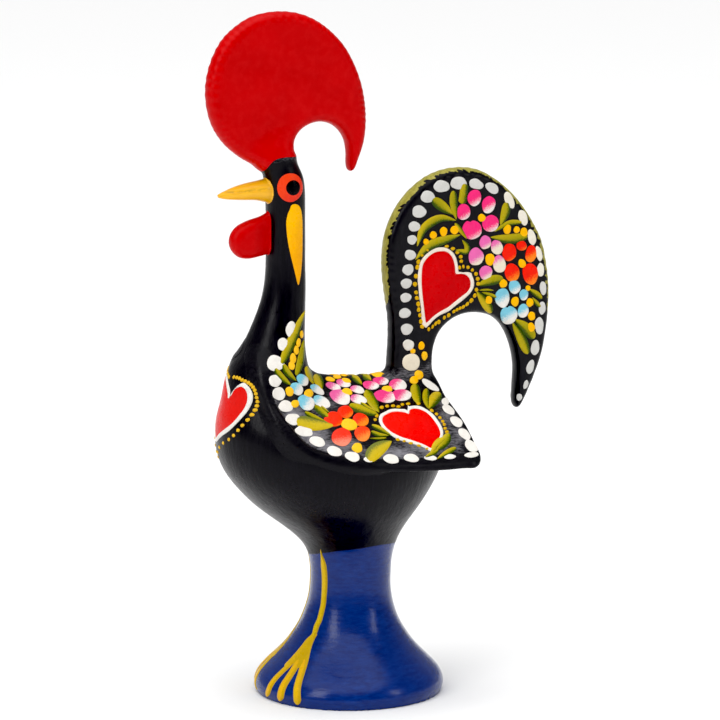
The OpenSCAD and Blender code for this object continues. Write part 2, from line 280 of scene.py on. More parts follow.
COMB = [(-33.5, 193), (-38, 196.1), (-43, 199.1), (-48, 203.2), (-51.3, 207.3), (-53.7, 212), (-55.1, 217.5), (-55.5, 223.5), (-54.6, 229.5), (-52.4, 235.5),
        (-48.7, 241.2), (-43.8, 245.4), (-38.4, 248.4), (-32.7, 249.8), (-26.3, 250.1), (-19.4, 249), (-13.3, 246.4),
        (-7.8, 242.5), (-2.4, 236.9), (1.7, 230.1), (4.5, 222.7), (6, 214.5), (6.2, 207), (5.2, 201), (3.2, 195.6), (1.3, 191.4),
        (0.1, 190.9), (-0.7, 193), (-0.8, 198.3), (-1.8, 202.9), (-4.2, 206.4), (-7.6, 208.8), (-12, 209.8), (-16.4, 209),
        (-19.8, 207), (-21.9, 204), (-22.3, 200.7), (-21.6, 197.7)]
TAIL = [(16.2, 108), (15.6, 119), (16, 128), (15.8, 136), (14.5, 145), (13.6, 154), (13.7, 160.5), (14.6, 166.4), (16.8, 172.2), (19.6, 177), (23.5, 181.6),
        (28.1, 185.3), (32.8, 187.9), (39, 189.6), (46, 189.8), (51.8, 188.5), (58.1, 185), (64.3, 180), (69.3, 174.4), (74.3, 167),
        (77.4, 160.6), (79.2, 153.1), (80.2, 145), (80.1, 136.4), (79.2, 127.5), (77.4, 118.6), (74.6, 111), (71.1, 103.7), (69, 99.9), (67.6, 98.8),
        (66.6, 100.8), (66.5, 105.4), (67, 114.9), (65.3, 123.2), (61.8, 130.1), (57.7, 133.9), (52.3, 135.8), (46.2, 136),
        (40.6, 134.2), (35.8, 130.2), (33.4, 125), (32.7, 118.3), (33.4, 112), (33.4, 108)]
WATTLE = [(-26, 181), (-30.8, 179), (-34.4, 177.1), (-40, 175.6), (-43.9, 173.9), (-46.3, 171.2), (-47, 168.2), (-46, 165.2), (-43.6, 162.9),
          (-40.4, 162.1), (-36, 162.5), (-32.5, 163.1), (-26, 164)]
COMB_D = outline_map(closed_curve(COMB), 0.45, 9.0, 0.55)
TAIL_D = outline_map(closed_curve(TAIL), 0.45, 9.0, 0.55)
WATTLE_D = outline_map(closed_curve(WATTLE), 0.4, 7.0, 0.6)
# x, middle z, half height, half width of the beak's sections
BEAK = [(-51.3, 185.3, 0.5, 0.6), (-50, 185.35, 1.0, 1.2), (-47.5, 185.6, 1.75, 1.95), (-44, 185.95, 2.5, 2.7), (-40, 186.25, 3.1, 3.4),
        (-36, 186.35, 3.6, 3.75), (-33.2, 186.25, 4.2, 3.8), (-31.5, 186.2, 4.35, 3.5), (-30, 186.2, 3.9, 2.9), (-28, 186.2, 3, 2)]
BEAK_C = [Curve1([r[0] for r in BEAK], [r[i] for r in BEAK]).tab(512) for i in (1, 2, 3)]


def plate(d, y, H, w):
    """A flat slab of half thickness H whose faces roll over to its rim within w."""
    u = np.minimum(-d / w, 1)
    k = 1 - u
    F = (y / H) ** 2 - 1 + k ** 3
    g = np.sqrt((2 * y / (H * H)) ** 2 + (3 * k * k / w) ** 2 + (0.35 / H) ** 2)
    return F / g


def hump(a, at, wide):
    """A smooth hump round one angle."""
    return np.exp(-(((a - at + math.pi) % (2 * math.pi) - math.pi) / wide) ** 2)


def f_comb(x, y, z):
    d = COMB_D(x, z)
    a = np.arctan2(z - 216, x + 22)
    # the rim is pinched into small flutes, deepest at the upper front; none at the root and on the hook's inner side
    rim = sstep(0.37, 0.16, hump(a, -1.45, 0.95)) * sstep(4.5, 1.5, -d) * sstep(10, 17, np.hypot(x + 12, z - 203))
    fl = np.sin(a * 70 + 2.4 * np.sin(a * 5 + 1) + 0.9 * np.sin(a * 11))
    amp = (0.06 + 0.12 * hump(a, 2.65, 0.5) + 0.08 * hump(a, 1.5, 0.4) + 0.07 * hump(a, -0.25, 0.45)) * rim
    root = sstep(15, 0, np.hypot(x + 27.5, z - 195.0))
    H = 4.0 + 2.5 * root - 0.7 * amp * (1 - fl)
    return plate(d + amp * (1 - fl) * 0.42, y, H, 4.2 + 2.0 * root)


def f_tail(x, y, z):
    d = TAIL_D(x, z)
    a = np.arctan2(z - 150, x - 46)
    rim = sstep(4.5, 1.5, -d) * sstep(16, 26, np.hypot(x - 49, z - 118))
    fl = np.sin(a * 64 + 2.0 * np.sin(a * 6 + 2) + 0.9 * np.sin(a * 13))
    amp = (0.07 + 0.06 * np.sin(a * 4 + 1)) * rim
    root = sstep(132, 113, z) * sstep(52, 40, x)
    H = 4.0 + 0.5 * root - 0.5 * amp * (1 - fl)
    return plate(d + amp * (1 - fl) * 0.5, y, H, 3.6)


def f_wattle(x, y, z):
    return plate(WATTLE_D(x, z), y, 3.3 - 1.2 * sstep(-39, -32, x), 4.4)


def f_beak(x, y, z):
    xs = BEAK_C[0][0]
    t = np.clip((x - xs[0]) * ((len(xs) - 1) / (xs[-1] - xs[0])), 0, len(xs) - 1.001)
    i = t.astype(np.int32)
    f = t - i
    zc, hz, wy = [c[1][i] * (1 - f) + c[1][i + 1] * f for c in BEAK_C]
    u, v = (z - zc) / hz, y / wy
    q = np.sqrt(u * u + v * v) + 1e-9
    m = np.sqrt((u / q / hz) ** 2 + (v / q / wy) ** 2)
    side = (q - 1) / m * 0.93
    # the line between the two halves of the bill
    side = side + 0.22 * np.exp(-((z - (186.9 + 0.045 * (x + 40))) / 0.42) ** 2) * sstep(-33.5, -36, x) * sstep(-49.5, -47, x)
    return np.maximum(side, -51.25 - x)


def slab(d):
    """Half the thickness of the wing's slab, thinner towards its lip."""
    return 0.88 + 1.29 * sstep(-2, -15, d)


def f_wing(x, y, z):
    d = PLAN(x, y) - 1.7
    zr = ROOF_Z(x, y)
    e = 0.4
    sx, sy = (ROOF_Z(x + e, y) - zr) / e, (ROOF_Z(x, y + e) - zr) / e
    c = 1 / np.sqrt(1 + sx * sx + sy * sy)
    T = slab(d)
    off = (z - zr) * c + T
    dd = d / np.maximum(c, 0.6)
    p, q = dd + 1.1, np.abs(off) - T + 1.1
    return np.sqrt(np.maximum(p, 0) ** 2 + np.maximum(q, 0) ** 2) - 1.1 + np.minimum(np.maximum(p, q), 0)


def f_hollow(x, y, z):
    """What is hollow inside the foot and the body."""
    r = np.hypot(x, y)
    foot = np.interp(z, [-2, 0, 4, 6, 8.4, 11.4, 14.4, 17.4, 20.6, 24.4, 28.4, 32.4, 36.4, 38, 70],
                     [30, 29.6, 29, 28.6, 27.3, 24.3, 21.2, 18.5, 16.2, 13.9, 12, 10.7, 9.9, 7, 7])
    f = np.maximum((r - foot) * 0.8, z - 66)
    bulb = np.maximum(ovals(STEM_C, x, y, z) + 5, np.maximum(60 - z, z - (ROOF_Z(x, y) - 11)))
    return np.minimum(f, np.maximum(bulb, z - 112))


def f_stem(x, y, z):
    """The thrown foot and the bulb, cut off under the wings."""
    s = ovals(STEM_C, x, y, z)
    s = np.maximum(smax(s, z - 122.5, 3.0), -z)
    d = PLAN(x, y)
    cut = smax((ROOF_Z(x, y) - 1.66 * slab(d - 1.7) - z) * 0.75, d - 1.4, 1.0)
    return smax(s, -cut, 1.0)


def f_neck(x, y, z):
    return np.maximum(ovals(NECK_C, x, y, z), np.maximum(100 - z, z - 200.6))


def neck_k(x):
    """The neck sweeps softly into the breast and the shoulders, and turns more tightly behind."""
    return 7.0 - 2.4 * sstep(-24, -17, x)


def f_body(x, y, z):
    return smin(f_stem(x, y, z), f_neck(x, y, z), neck_k(x))


def shoulder_k(x):
    return 1.6 + 4.5 * sstep(-26, -39, x)


def f_back(x, y, z):
    """Body with its wings luted on."""
    s = smin(f_stem(x, y, z), f_wing(x, y, z), shoulder_k(x))
    return smin(s, f_neck(x, y, z), neck_k(x))


TAIL_K, COMB_K, WATTLE_K, BEAK_K = 4.2, 2.2, 0.45, 0.7


def f_all(x, y, z):
    d = smin(f_back(x, y, z), f_tail(x, y, z), TAIL_K)
    d = smin(d, f_comb(x, y, z), COMB_K)
    d = smin(d, f_wattle(x, y, z), WATTLE_K)
    return smin(d, f_beak(x, y, z), BEAK_K)


def uneven(P):
    """The hand-made unevenness of the whole bird: a slow warp, so that pieces stay joined and the foot stays flat."""
    x, y, z = P.T
    s = sstep(0, 12, z)[:, None]
    w = np.stack([wave(x, y, z, 0.11, 11), wave(x, y, z, 0.10, 12), wave(x, y, z, 0.12, 13) * sstep(248, 225, z)], 1)
    w2 = np.stack([wave(x, y, z, 0.32, 21), wave(x, y, z, 0.3, 22), wave(x, y, z, 0.33, 23) * sstep(249, 240, z)], 1)
    keep = sstep(0.0, 3.0, np.abs(y))[:, None] ** [0, 1, 0]  # nothing crosses the middle plane
    return P + (w * 0.16 + w2 * 0.05) * s * keep


# ------------------------------------------------------------------ meshing
def nets(f, lo, hi, h, block=8):
    """A closed quad mesh of f = 0 (surface nets), worked only in the blocks that the surface crosses."""
    lo, hi = np.asarray(lo, float), np.asarray(hi, float)
    B = block * h
    nb = np.ceil((hi - lo) / B).astype(int)
    c = [lo[i] + B * (np.arange(nb[i]) + 0.5) for i in range(3)]
    X, Y, Z = np.meshgrid(*c, indexing="ij")
    v = f(X.ravel(), Y.ravel(), Z.ravel()).reshape(X.shape)
    near = np.abs(v) < B * 1.3
    act = np.argwhere(near)
    F = np.full(tuple(nb * block + 1), 1e3, np.float32)
    for a in np.argwhere(~near & (v < 0)):
        F[tuple(slice(a[i] * block, (a[i] + 1) * block + 1) for i in range(3))] = -1e3
    o = np.arange(block + 1)
    I, J, K = [q.ravel() for q in np.meshgrid(o, o, o, indexing="ij")]
    for s in range(0, len(act), 600):
        a = act[s:s + 600] * block
        gi, gj, gk = (a[:, 0, None] + I).ravel(), (a[:, 1, None] + J).ravel(), (a[:, 2, None] + K).ravel()
        F[gi, gj, gk] = f(lo[0] + h * gi, lo[1] + h * gj, lo[2] + h * gk)
    neg = F < 0
    n = np.array(F.shape)
    s8 = np.zeros(tuple(n - 1), np.uint8)
    for i in (0, 1):
        for j in (0, 1):
            for k in (0, 1):
                s8 += neg[i:n[0] - 1 + i, j:n[1] - 1 + j, k:n[2] - 1 + k]
    cells = np.argwhere((s8 > 0) & (s8 < 8))
    vid = np.full(s8.shape, -1, np.int32)
    vid[cells[:, 0], cells[:, 1], cells[:, 2]] = np.arange(len(cells))
    corner = np.array([(i, j, k) for i in (0, 1) for j in (0, 1) for k in (0, 1)])
    vals = np.stack([F[cells[:, 0] + i, cells[:, 1] + j, cells[:, 2] + k] for i, j, k in corner], 1).astype(float)
    acc, cnt = np.zeros((len(cells), 3)), np.zeros(len(cells))
    for a in range(8):
        for b in range(a + 1, 8):
            if np.abs(corner[a] - corner[b]).sum() == 1:
                m = (vals[:, a] < 0) != (vals[:, b] < 0)
                t = vals[m, a] / (vals[m, a] - vals[m, b])
                acc[m] += corner[a] + t[:, None] * (corner[b] - corner[a])
                cnt[m] += 1
    V = lo + h * (cells + acc / cnt[:, None])
    quads = []
    for ax in range(3):
        u, w = [(1, 2), (2, 0), (0, 1)][ax]
        s0, s1 = [slice(None)] * 3, [slice(None)] * 3
        s0[ax], s1[ax] = slice(0, -1), slice(1, None)
        n0, n1 = neg[tuple(s0)], neg[tuple(s1)]
        e = np.argwhere(n0 != n1)
        e = e[(e[:, u] > 0) & (e[:, w] > 0) & (e[:, u] < n[u] - 1) & (e[:, w] < n[w] - 1)]
        flip = n0[e[:, 0], e[:, 1], e[:, 2]]
        du, dw = np.zeros(3, int), np.zeros(3, int)
        du[u], dw[w] = 1, 1
        q = np.stack([vid[g[:, 0], g[:, 1], g[:, 2]] for g in (e - du - dw, e - dw, e, e - du)], 1)
        q[~flip] = q[~flip][:, ::-1]
        quads.append(q)
    return V, np.vstack(quads)


def grad(f, P, e=0.06):
    x, y, z = P.T
    d = np.stack([f(x + e, y, z) - f(x - e, y, z), f(x, y + e, z) - f(x, y - e, z), f(x, y, z + e) - f(x, y, z - e)], 1)
    return d / (2 * e)


def settle(P, f, n=3, most=0.5):
    """Moves points onto f = 0."""
    for _ in range(n):
        d = f(*P.T)
        g = grad(f, P)
        P = P - np.clip(d / np.maximum((g * g).sum(1), 0.15), -most, most)[:, None] * g
    return P


def tris(Q):
    return np.vstack([Q[:, [0, 1, 2]], Q[:, [0, 2, 3]]]) if Q.shape[1] == 4 else Q


def clip(V, T, s, cap=None, lay=None):
    """Keeps the side s < 0 of a closed mesh of triangles, and caps the cut flat. lay is the cap's two axes.
    Returns points, triangles and which triangles are cap."""
    s = np.where(np.abs(s) < 1e-6, -1e-6, s)
    ins = s < 0
    k = ins[T].sum(1)
    keep = T[k == 3]
    edges = {}
    new = []

    def cut(a, b):
        key = (a, b) if a < b else (b, a)
        if key not in edges:
            a, b = key
            t = s[a] / (s[a] - s[b])
            edges[key] = len(V) + len(new)
            new.append(V[a] + t * (V[b] - V[a]))
        return edges[key]

    out, rim = [], []
    for t in T[(k == 1) | (k == 2)]:
        q = []
        for i in range(3):
            a, b = t[i], t[(i + 1) % 3]
            if ins[a]:
                q.append(a)
            if ins[a] != ins[b]:
                q.append(cut(a, b))
        out.append((q[0], q[1], q[2]))
        if len(q) == 4:
            out.append((q[0], q[2], q[3]))
        m = len(q)
        for i in range(m):
            if q[i] >= len(V) and q[(i + 1) % m] >= len(V):
                rim.append((q[(i + 1) % m], q[i]))
    V2 = np.vstack([V, np.array(new)]) if new else V
    faces = np.vstack([keep, np.array(out, int).reshape(-1, 3)])
    caps = []
    if rim:
        ids = sorted({i for e in rim for i in e})
        at = {v: i for i, v in enumerate(ids)}
        flat = [Vector((V2[i][lay[0]], V2[i][lay[1]])) for i in ids]
        _, _, fan, orig, _, _ = delaunay_2d_cdt(flat, [(at[p], at[q]) for p, q in rim], [], 0, 1e-7)
        back = {}
        for new_i, o in enumerate(orig):
            if len(o):
                back[new_i] = ids[o[0]]
        fan = [[back[i] for i in tri] for tri in fan if all(i in back for i in tri)]
        way = set(rim)
        turn = np.sign(np.cross(np.eye(3)[lay[0]], np.eye(3)[lay[1]]) @ cap)
        if turn < 0:
            fan = [tri[::-1] for tri in fan]
        # a triangle is inside when the rim runs along it the right way round, and its neighbours go with it
        side = {}
        for n, tri in enumerate(fan):
            for k3 in range(3):
                side.setdefault(frozenset((tri[k3], tri[(k3 + 1) % 3])), []).append(n)
        state = [None] * len(fan)
        heap = []
        for n, tri in enumerate(fan):
            for k3 in range(3):
                e = (tri[k3], tri[(k3 + 1) % 3])
                if e in way or e[::-1] in way:
                    state[n] = e in way
                    heap.append(n)
                    break
        edge_set = {frozenset(e) for e in rim}
        while heap:
            n = heap.pop()
            tri = fan[n]
            for k3 in range(3):
                e = frozenset((tri[k3], tri[(k3 + 1) % 3]))
                if e in edge_set:
                    continue
                for m in side[e]:
                    if state[m] is None:
                        state[m] = state[n]
                        heap.append(m)
        caps = [tuple(tri) for n, tri in enumerate(fan) if state[n]]
    n = len(faces)
    if caps:
        faces = np.vstack([faces, np.array(caps, int)])
    used, inv = np.unique(faces, return_inverse=True)
    is_cap = np.zeros(len(faces), bool)
    is_cap[n:] = True
    return V2[used], inv.reshape(-1, 3), is_cap


def build(name, V, T, cap=None, f=None, mats=(), mat_of=None, nodes=(), colours=None, smooth=True):
    """Makes a piece from points in mm. Where the points lie on f = 0 their shading follows f, so seams don't show."""
    cap = np.zeros(len(T), bool) if cap is None else cap
    fn = np.cross(V[T[:, 1]] - V[T[:, 0]], V[T[:, 2]] - V[T[:, 0]])
    vn = np.zeros_like(V)
    for i in range(T.shape[1]):
        np.add.at(vn, T[~cap][:, i], fn[~cap])
    vn /= np.linalg.norm(vn, axis=1)[:, None] + 1e-12
    if f is not None:
        near = np.abs(f(*V.T)) < 0.12
        g = grad(f, V[near], 0.15)
        g /= np.linalg.norm(g, axis=1)[:, None] + 1e-12
        same = (g * vn[near]).sum(1) > 0.6
        idx = np.flatnonzero(near)[same]
        vn[idx] = g[same]
    W = uneven(V) * MM
    me = bpy.data.meshes.new(name)
    me.vertices.add(len(W))
    me.vertices.foreach_set("co", W.astype(np.float32).ravel())
    k = T.shape[1]
    me.loops.add(T.size)
    me.loops.foreach_set("vertex_index", T.astype(np.int32).ravel())
    me.polygons.add(len(T))
    me.polygons.foreach_set("loop_start", np.arange(0, T.size, k, dtype=np.int32))
    me.update(calc_edges=True)
    me.validate()
    for m in mats:
        me.materials.append(m)
    if mat_of is not None and len(me.polygons) == len(T):
        me.polygons.foreach_set("material_index", mat_of.astype(np.int32))
    me.polygons.foreach_set("use_smooth", np.full(len(me.polygons), smooth))
    if colours is not None:
        for key, c in colours.items():
            if c.ndim == 2:
                at = me.attributes.new(key, "FLOAT_COLOR", "POINT")
                at.data.foreach_set("color", np.hstack([c, np.ones((len(c), 1))]).astype(np.float32).ravel())
            else:
                at = me.attributes.new(key, "FLOAT", "POINT")
                at.data.foreach_set("value", c.astype(np.float32))
    if smooth and len(me.polygons) == len(T):
        ln = vn[T.ravel()]
        un = fn / (np.linalg.norm(fn, axis=1)[:, None] + 1e-12)
        c3 = np.repeat(cap, k)
        ln[c3] = np.repeat(un, k, axis=0)[c3]
        me.normals_split_custom_set(ln.astype(np.float32))
    me.update()
    ob = bpy.data.objects.new(name, me)
    bpy.context.scene.collection.objects.link(ob)
    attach(ob, "root")
    if nodes:
        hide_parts(*nodes)
    return ob


# ------------------------------------------------------------------ materials
def lin(*rgb):
    """8-bit picture colour to linear."""
    return [((c / 255) / 12.92 if c / 255 <= 0.04045 else ((c / 255 + 0.055) / 1.055) ** 2.4) for c in rgb]


class Mat:
    def __init__(s, name):
        s.m = bpy.data.materials.new(name)
        s.m.use_nodes = True
        s.t = s.m.node_tree
        s.t.nodes.clear()
        s.out = s.t.nodes.new("ShaderNodeOutputMaterial")
        s.b = s.t.nodes.new("ShaderNodeBsdfPrincipled")
        s.link(s.b.outputs[0], s.out.inputs[0])
        s.co = s.t.nodes.new("ShaderNodeTexCoord").outputs["Object"]

    def link(s, a, b):
        s.t.links.new(a, b)

    def put(s, sock, v):
        if hasattr(v, "is_output"):
            s.link(v, sock)
        elif isinstance(v, (list, tuple)) and len(v) == 3 and sock.type == "RGBA":
            sock.default_value = (*v, 1)
        else:
            sock.default_value = v

    def set(s, **kw):
        for k, v in kw.items():
            s.put(s.b.inputs[k.replace("_", " ")], v)

    def math(s, op, a, b=0.0, c=0.0, clamp=False):
        n = s.t.nodes.new("ShaderNodeMath")
        n.operation = op
        n.use_clamp = clamp
        s.put(n.inputs[0], a)
        s.put(n.inputs[1], b)
        if len(n.inputs) > 2:
            s.put(n.inputs[2], c)
        return n.outputs[0]

    def mix(s, f, a, b, kind="MIX"):
        n = s.t.nodes.new("ShaderNodeMix")
        n.data_type = "RGBA"
        n.blend_type = kind
        s.put(n.inputs[0], f)
        s.put(n.inputs[6], a)
        s.put(n.inputs[7], b)
        return n.outputs[2]

    def range(s, v, a, b, c=0.0, d=1.0, smooth=False):
        n = s.t.nodes.new("ShaderNodeMapRange")
        n.interpolation_type = "SMOOTHSTEP" if smooth else "LINEAR"
        s.put(n.inputs[0], v)
        for i, q in enumerate((a, b, c, d)):
            s.put(n.inputs[i + 1], q)
        return n.outputs[0]

    def noise(s, scale, detail=3.0, rough=0.5, at=None, dist=0.0):
        n = s.t.nodes.new("ShaderNodeTexNoise")
        s.put(n.inputs["Vector"], at if at is not None else s.co)
        n.inputs["Scale"].default_value = scale
        n.inputs["Detail"].default_value = detail
        n.inputs["Roughness"].default_value = rough
        n.inputs["Distortion"].default_value = dist
        return n.outputs["Fac"]

    def voronoi(s, scale, at=None, feature="F1"):
        n = s.t.nodes.new("ShaderNodeTexVoronoi")
        n.feature = feature
        s.put(n.inputs["Vector"], at if at is not None else s.co)
        n.inputs["Scale"].default_value = scale
        return n.outputs["Distance"]

    def stretch(s, x, y, z, rot=(0, 0, 0)):
        n = s.t.nodes.new("ShaderNodeMapping")
        s.link(s.co, n.inputs["Vector"])
        n.inputs["Rotation"].default_value = rot
        n.inputs["Scale"].default_value = (x, y, z)
        return n.outputs[0]

    def attr(s, name, what="Color"):
        n = s.t.nodes.new("ShaderNodeAttribute")
        n.attribute_name = name
        return n.outputs[what]

    def xyz(s):
        n = s.t.nodes.new("ShaderNodeSeparateXYZ")
        s.link(s.co, n.inputs[0])
        return n.outputs

    def bump(s, h, dist, strength=1.0, normal=None):
        n = s.t.nodes.new("ShaderNodeBump")
        n.inputs["Strength"].default_value = strength
        n.inputs["Distance"].default_value = dist
        s.put(n.inputs["Height"], h)
        if normal is not None:
            s.link(normal, n.inputs["Normal"])
        return n.outputs[0]


def enamel(name, colour_of, rough=(0.2, 0.38), brush=(1, 1, 0.12), coat=0.1, grain=1.0, spec=0.28, broad=0.0, swell=(1, 1, 0.07)):
    """Hand-brushed gloss enamel over fired clay."""
    m = Mat(name)
    streak = m.noise(900, 4, 0.6, m.stretch(*brush))
    slow = m.noise(60, 3, 0.5)
    pits = m.noise(1900, 3, 0.6)
    m.set(Base_Color=colour_of(m, streak, slow), Specular_IOR_Level=spec, Coat_Weight=coat, Coat_Roughness=0.12)
    m.set(Roughness=m.range(m.math("ADD", m.math("MULTIPLY", streak, 0.5), m.math("MULTIPLY", slow, 0.5)), 0.3, 0.7, rough[0], rough[1]))
    n1 = m.bump(streak, 0.00016 * grain, 0.55)
    n2 = m.bump(slow, 0.0012, 0.35, n1)
    if broad:
        n2 = m.bump(m.noise(300, 3, 0.55, m.stretch(*swell)), 0.0005, broad, n2)
    m.set(Normal=m.bump(pits, 0.00010 * grain, 0.35, n2))
    return m.m


def black_colour(m, streak, slow):
    """Black, rubbed to grey where a piece is luted on or the brush ran dry (attribute scuff)."""
    base = m.mix(m.range(streak, 0.35, 0.75), lin(9, 8, 11), lin(20, 18, 25))
    base = m.mix(m.range(slow, 0.4, 0.7), base, lin(12, 11, 15))
    sc = m.attr("scuff", "Fac")
    fine = m.noise(2300, 4, 0.7, m.stretch(0.22, 0.9, 0.9, (0.3, 0.5, 0.6)))
    big = m.noise(260, 3, 0.6)
    k = m.math("ADD", m.math("MULTIPLY", fine, 0.62), m.math("ADD", m.math("MULTIPLY", big, 0.38), m.math("MULTIPLY", sc, 0.32)))
    k = m.math("MULTIPLY", m.range(k, 0.55, 0.86), m.range(sc, 0.0, 0.35))
    return m.mix(m.math("MULTIPLY", k, 0.9), base, lin(138, 136, 142))


def blue_colour(m, streak, slow):
    base = m.mix(m.range(streak, 0.3, 0.75), lin(3, 29, 98), lin(15, 53, 130))
    return m.mix(m.range(slow, 0.35, 0.7, 0, 0.6), base, lin(7, 39, 112))


def red_colour(m, streak, slow):
    base = m.mix(m.range(slow, 0.3, 0.7), lin(184, 2, 3), lin(196, 4, 6))
    return m.mix(m.range(streak, 0.45, 0.8, 0, 0.45), base, lin(206, 26, 26))


def yellow_colour(m, streak, slow):
    base = m.mix(m.range(slow, 0.3, 0.7), lin(240, 170, 22), lin(252, 196, 48))
    base = m.mix(m.range(streak, 0.5, 0.8, 0, 0.6), base, lin(214, 150, 16))
    # painted shade: a dark line along the groove between the halves of the bill, and the underside of the bill painted
    # darker
    x, y, z = m.xyz()
    mid = m.math("ADD", m.math("MULTIPLY", m.math("ADD", x, 0.04), 0.045), 0.1869)
    off = m.math("ABSOLUTE", m.math("SUBTRACT", m.math("ADD", z, m.math("MULTIPLY", m.math("SUBTRACT", slow, 0.5), 0.0008)), mid))
    line = m.math("MULTIPLY", m.range(off, 0.0007, 0.0001), m.range(m.noise(700, 3, 0.6, m.stretch(0.5, 1, 1)), 0.36, 0.6))
    line = m.math("MULTIPLY", line, m.range(x, -0.0495, -0.0475))
    # painted shade: the lower part of the bill darker
    low = m.math("MULTIPLY", m.range(z, 0.1848, 0.1832), m.range(streak, 0.3, 0.6, 0.25, 0.75))
    base = m.mix(low, base, lin(206, 148, 10))
    return m.mix(m.math("MULTIPLY", line, 0.55), base, lin(140, 112, 18))


def body_colour(m, streak, slow):
    """Black enamel; the blue of the foot runs a little way up the body, to a hand-painted edge."""
    x, y, z = m.xyz()
    edge = m.math("ADD", m.math("SUBTRACT", m.math("MULTIPLY", x, 0.04), m.math("MULTIPLY", y, 0.24)), 0.0522)
    wob = m.math("MULTIPLY", m.math("SUBTRACT", m.noise(120, 2), 0.5), 0.0012)
    k = m.range(m.math("SUBTRACT", m.math("ADD", edge, wob), z), -0.00012, 0.00012)
    return m.mix(k, black_colour(m, streak, slow), blue_colour(m, streak, slow))


def tail_colour(m, streak, slow):
    ragged = m.math("MULTIPLY", m.math("SUBTRACT", m.noise(760, 2, 0.5), 0.5), 0.42)
    k = m.range(m.math("ADD", m.attr("green", "Fac"), ragged), 0.485, 0.515)
    g = m.mix(m.range(streak, 0.3, 0.7), lin(126, 119, 44), lin(172, 164, 78))
    return m.mix(k, black_colour(m, streak, slow), g)


BLACK = enamel("black_enamel", body_colour, (0.24, 0.4), (1, 1, 0.10), 0.05, 1.2, 0.175, 0.4)
BLACK_BACK = enamel("black_enamel_back", black_colour, (0.24, 0.46), (0.35, 1, 1), 0.07, 1.8, 0.2)
BLUE = enamel("blue_enamel", body_colour, (0.12, 0.26), (0.3, 0.3, 1), 0.14, 1.2, 0.26, 0.3, (0.2, 0.2, 1))
RED = enamel("red_enamel", red_colour, (0.34, 0.5), (0.5, 1, 0.5), 0.0, 0.9, 0.17)
YELLOW = enamel("yellow_enamel", yellow_colour, (0.25, 0.4), (0.15, 1, 1), 0.1, 0.8, 0.35)
TAILMAT = enamel("tail_enamel", tail_colour, (0.26, 0.42), (1, 1, 0.2), 0.08, 1.3, 0.2)


def clay():
    m = Mat("bare_clay")
    a, b = m.noise(350, 5, 0.6), m.noise(2200, 3, 0.6)
    m.set(Base_Color=m.mix(m.range(a, 0.3, 0.7), lin(158, 84, 52), lin(192, 118, 80)), Roughness=m.range(b, 0.2, 0.8, 0.75, 0.95))
    m.set(Normal=m.bump(b, 0.0002, 0.6, m.bump(a, 0.0006, 0.5)))
    return m.m


CLAY = clay()


def paint(name, rough=(0.24, 0.38), spec=0.14, coat=0.03):
    """Enamel whose colour is carried by each dab."""
    m = Mat(name)
    n1 = m.noise(1500, 4, 0.65)
    n2 = m.noise(420, 3, 0.5)
    edge = m.math("ADD", m.attr("blend", "Fac"), m.math("MULTIPLY", m.math("SUBTRACT", m.noise(2100, 4, 0.7), 0.5), 0.85))
    c = m.mix(m.range(edge, 0.32, 0.76, smooth=True), m.attr("paint"), m.attr("paint2"))
    c = m.mix(m.range(n1, 0.35, 0.75, 0.0, 0.6), c, m.mix(1.0, c, (1.12, 1.12, 1.12), "MULTIPLY"))
    c = m.mix(m.range(n2, 0.4, 0.75, 0.0, 0.22), c, m.mix(1.0, c, (0.62, 0.6, 0.55), "MULTIPLY"))
    m.set(Base_Color=c, Roughness=m.range(n2, 0.3, 0.7, rough[0], rough[1]), Specular_IOR_Level=spec, Coat_Weight=coat, Coat_Roughness=0.15)
    m.set(Normal=m.bump(n1, 0.00012, 0.5, m.bump(n2, 0.0003, 0.4)))
    return m.m


PAINT = paint("dab_enamel")

# ------------------------------------------------------------------ pieces
H = 0.66
HF = 0.45


def half(V, T, cap, side):
    """The half with y * side > 0, closed on the middle plane."""
    V2, T2, c2 = clip(V, T, -V[:, 1] * side, np.array([0, -side, 0.0]), (0, 2))
    return V2, T2, c2


def head_side(P):
    """Above zero over the line where the red comb is luted to the head: low in front, higher on the sides."""
    x, y, z = P.T
    return z - np.maximum(193.3 + 5.5 * (1 - np.exp(-(np.maximum(x, -42) + 34.6) / 1.7)) - 0.09 * np.maximum(x + 27, 0), 187)


def over(P):
    """Height over the painted edge between blue and black, in mm."""
    return P[:, 2] - (52.2 + 0.04 * P[:, 0] - 0.24 * P[:, 1])


